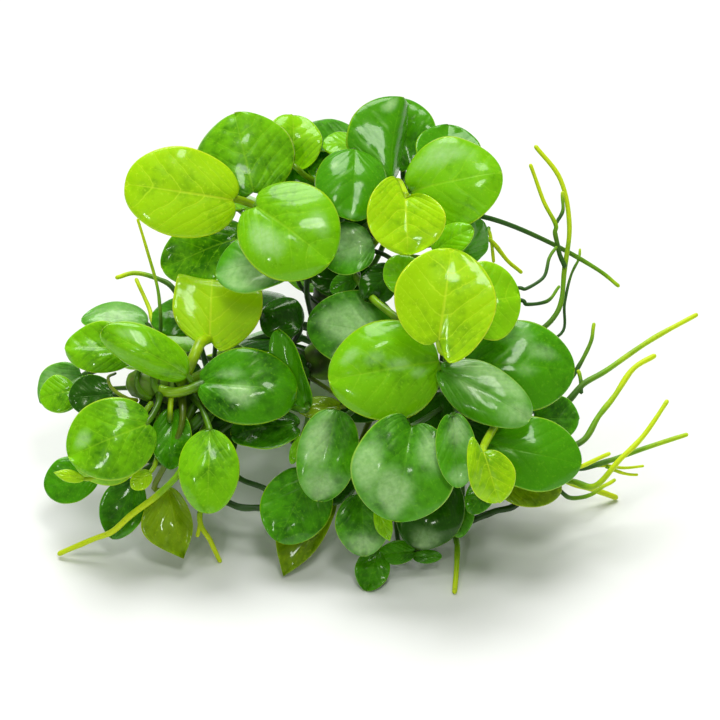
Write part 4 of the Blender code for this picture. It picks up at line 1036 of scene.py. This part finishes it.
# thickness at the branch and at the tip, how yellow, then the spots
rootTable = [
    (1.1, 0.8, 0.95, [(-20, -4, 1), (-23, -10, 7), (-26.5, -16.5, 10.3), (-30, -20, 9.3), (-34, -23, 8),
        (-37, -25.5, 6.3), (-40.5, -27, 4), (-44.8, -28.9, 1.8)]),
    (1.0, 0.7, 0.8, [(-18, -3, -2), (-21, -14, 3), (-23.8, -23, 5), (-22.3, -27, 4), (-21, -30, 2.1)]),
    (0.6, 0.45, 0.6, [(-25.4, -4.9, 3.9), (-29.5, 1, -1.5), (-30, 7, -1), (-30.5, 11, -2), (-32, 16.5, -2),
        (-33.4, 21, -2)]),
    (0.9, 0.7, 0.45, [(-22, -4.4, 2), (-25, 5, -3), (-28, 10.5, -4), (-30.5, 12.3, -5), (-34, 13.1, -6),
        (-36.7, 12.6, -6)]),
    (1.0, 0.8, 0.45, [(8, -3.5, -5), (13, -18, -2), (14.3, -26.3, 2.4), (14.5, -28.5, 4),
        (14, -34.2, 7.4)]),
    (1.2, 0.7, 0.5, [(20, -8.6, 1.4), (26, -7.5, 1.5), (30.2, -6.9, 1.5), (33.5, -3.6, 1), (37.2, -1.4, 0),
        (43.7, 3, -2), (50.7, 6.7, -4)]),
    (0.8, 0.6, 0.25, [(16, -6.4, -1.5), (26, -4.4, -2.5), (31, -3.5, -3), (33, -1, -3.5), (34.8, 2.5, -4),
        (35.3, 5.3, -4.5)]),
    (1.0, 0.8, 0.7, [(21.5, -9.6, 2.2), (28.5, -13, 7.6), (32.9, -12, 8.2), (35.4, -8.4, 7),
        (37.8, -5.4, 6), (40.6, -1.4, 5), (43.7, 0.6, 4)]),
    (1.1, 0.7, 0.85, [(21.2, -9.5, 1.9), (27, -16.5, 2.6), (31.7, -18, 5), (34.8, -18.6, 6.5),
        (38.5, -14.9, 7), (42.1, -11.2, 6), (45.6, -6.2, 5)]),
    (1.0, 0.7, 0.3, [(21, -9, 1), (28, -15, 1), (32.6, -16.1, 2), (36.6, -15.2, 2.5), (40.9, -13.8, 2.5),
        (48.7, -11.2, 2)]),
    (1.3, 0.9, 1.15, [(18, -7.4, -1), (26, -15, -2), (31.7, -18.4, -4), (35.1, -19.5, -6),
        (38.8, -20.8, -8.1)]),
    (0.9, 0.7, 0.65, [(12, -5, -3.5), (21, 3, 0), (26, 4, 1), (29.8, 7.5, 0.5), (30.7, 13.5, 0),
        (31.4, 20, 0), (30.2, 27, 0), (26.4, 31.9, 0)]),
    (0.9, 0.6, 0.25, [(-1, 21.5, -4), (9, 22, 1), (18.3, 21.5, 2), (28, 18, -3), (36, 13.7, -4.5),
        (39, 11.3, -4.5)]),
    (1.2, 0.8, 0.3, [(-3, 1, -20), (-12, 4, -25), (-20, 2, -30), (-24, 0.4, -34)]),
    (1.2, 0.8, 0.3, [(-3, 1, -19), (8, 4, -25), (16, 4, -30), (21, 1.8, -35.4)]),
]

# side roots and fine roots, too small for solids of their own
fineRootTable = [
    (0.6, 0.4, 1.15, [(34.4, -15.8, 2.2), (36.6, -15.8, 2), (39.5, -16.1, 1.2), (42.3, -15.9, 0.4)]),
    (0.6, 0.4, 1.15, [(36.8, -15.9, 2), (38.4, -16.7, 1.6), (40, -17.1, 1), (41.5, -17.2, 0.4)]),
    (0.7, 0.6, 0.6, [(28.5, -17.5, 3.2), (30.2, -19.8, 3), (32, -20.7, 2), (34.8, -20.1, 1),
        (36.6, -18.9, 0), (38.1, -18, -1)]),
    (0.8, 0.6, 1.15, [(28.5, -14, 9), (31, -15.6, 10.6), (32.9, -15.5, 11), (36.5, -13.8, 11.5)]),
    (0.8, 0.6, 0.7, [(30.7, 14, 0.6), (29.9, 16, 0.9), (29.2, 19, 1.6), (29.2, 20.3, 1.8), (27.3, 24, 2.4),
        (25.5, 29, 3)]),
    (0.6, 0.5, 0.4, [(29.2, 20.2, 1.8), (30.3, 22.5, 1.6), (30.3, 25, 1.4)]),
    (0.6, 0.5, 0.1, [(19, 9.5, 3), (23.3, 10.7, 4), (24.8, 10.7, 4), (27.4, 12.4, 3), (28.3, 15.2, 2),
        (29.3, 16.8, 1.4)]),
    (0.7, 0.5, 0.1, [(18, 9, 0), (23.9, 9, 1), (25, 8.3, 1), (28, 8.8, 0), (30, 11, -3)]),
    (0.5, 0.4, 0.3, [(24, 1.5, -1.5), (30.4, 4, -4), (30.9, 8.5, -4.5), (32, 13, -5), (33, 15, -5.5),
        (33.3, 16.8, -6)]),
    (0.8, 0.6, 0.9, [(14, 16.5, 2), (18.3, 17.9, 4), (19.5, 17.8, 4), (22, 14.9, 3), (24, 13.2, 2)]),
    (0.6, 0.5, 1.0, [(19.2, 19.8, 2.4), (19.4, 18.6, 3), (19.9, 14.8, 3.4)]),
    (0.8, 0.6, 1.15, [(-29, 1, -1.8), (-31.2, 5.5, -4), (-32, 8, -6), (-33.9, 12.2, -8)]),
    (0.7, 0.6, 0.8, [(-23.9, -22.6, 5), (-23.9, -24.4, 5), (-24.2, -26, 4.6)]),
    (0.7, 0.6, 0.4, [(33.1, -4.9, 1.2), (33.2, -3.2, 0.6), (32.7, -1.8, 0.2)]),
]

rootSettings = {
    "steps": 8,
    "sides": 10,
    "waver": 0.16 * mm,
}


def makeRoot(name, row, seed, look):
    thick, thin, ripe, spots = row
    path = smoothPath([placed(spot) for spot in spots], rootSettings["steps"])
    radii = []
    for index, spot in enumerate(path):
        share = index / (len(path) - 1)
        knot = 1 + 0.16 * noise.noise(Vector((index * 0.23, seed, 0)))
        radii.append((thick + (thin - thick) * share) / 2 * mm * knot)
        sway = noise.noise_vector(Vector((index * 0.12, seed * 1.7, 4)))
        path[index] = spot + sway * rootSettings["waver"] * min(1.0, share * 4)
    for spot, radius in zip(path, radii):
        spot.z = max(spot.z, radius)
    bm = bmesh.new()
    addTube(bm, path, radii, rootSettings["sides"], 0)
    return finishedPiece(name, bm, [look], ripe)


def makeRoots(look):
    for index, row in enumerate(rootTable):
        makeRoot(f"root_{index + 1}", row, index, look)
    for index, row in enumerate(fineRootTable):
        makeRoot(f"fine_root_{index + 1}", row, 40 + index, look)
    print("roots made:", len(rootTable) + len(fineRootTable))


def makeLooks():
    looks = {}
    for shade in bladeShades:
        looks[shade] = bladeMaterial(shade, False)
        looks[shade + " under"] = bladeMaterial(shade, True)
        looks["stalk " + shade] = stalkMaterial(shade + " stalk", *stalkTones[shade])
    return looks


makeCamera()
makeLights()
makeFloor()
print("camera, lights and floor made")
leafLooks = makeLooks()
makeLeaves(leafLooks)
makeYoungLeaves(leafLooks)
makeStems(leafLooks)
makeRhizome(rhizomeMaterial())
makeRoots(rootMaterial())

bpy.context.scene.view_settings.view_transform = "Standard"
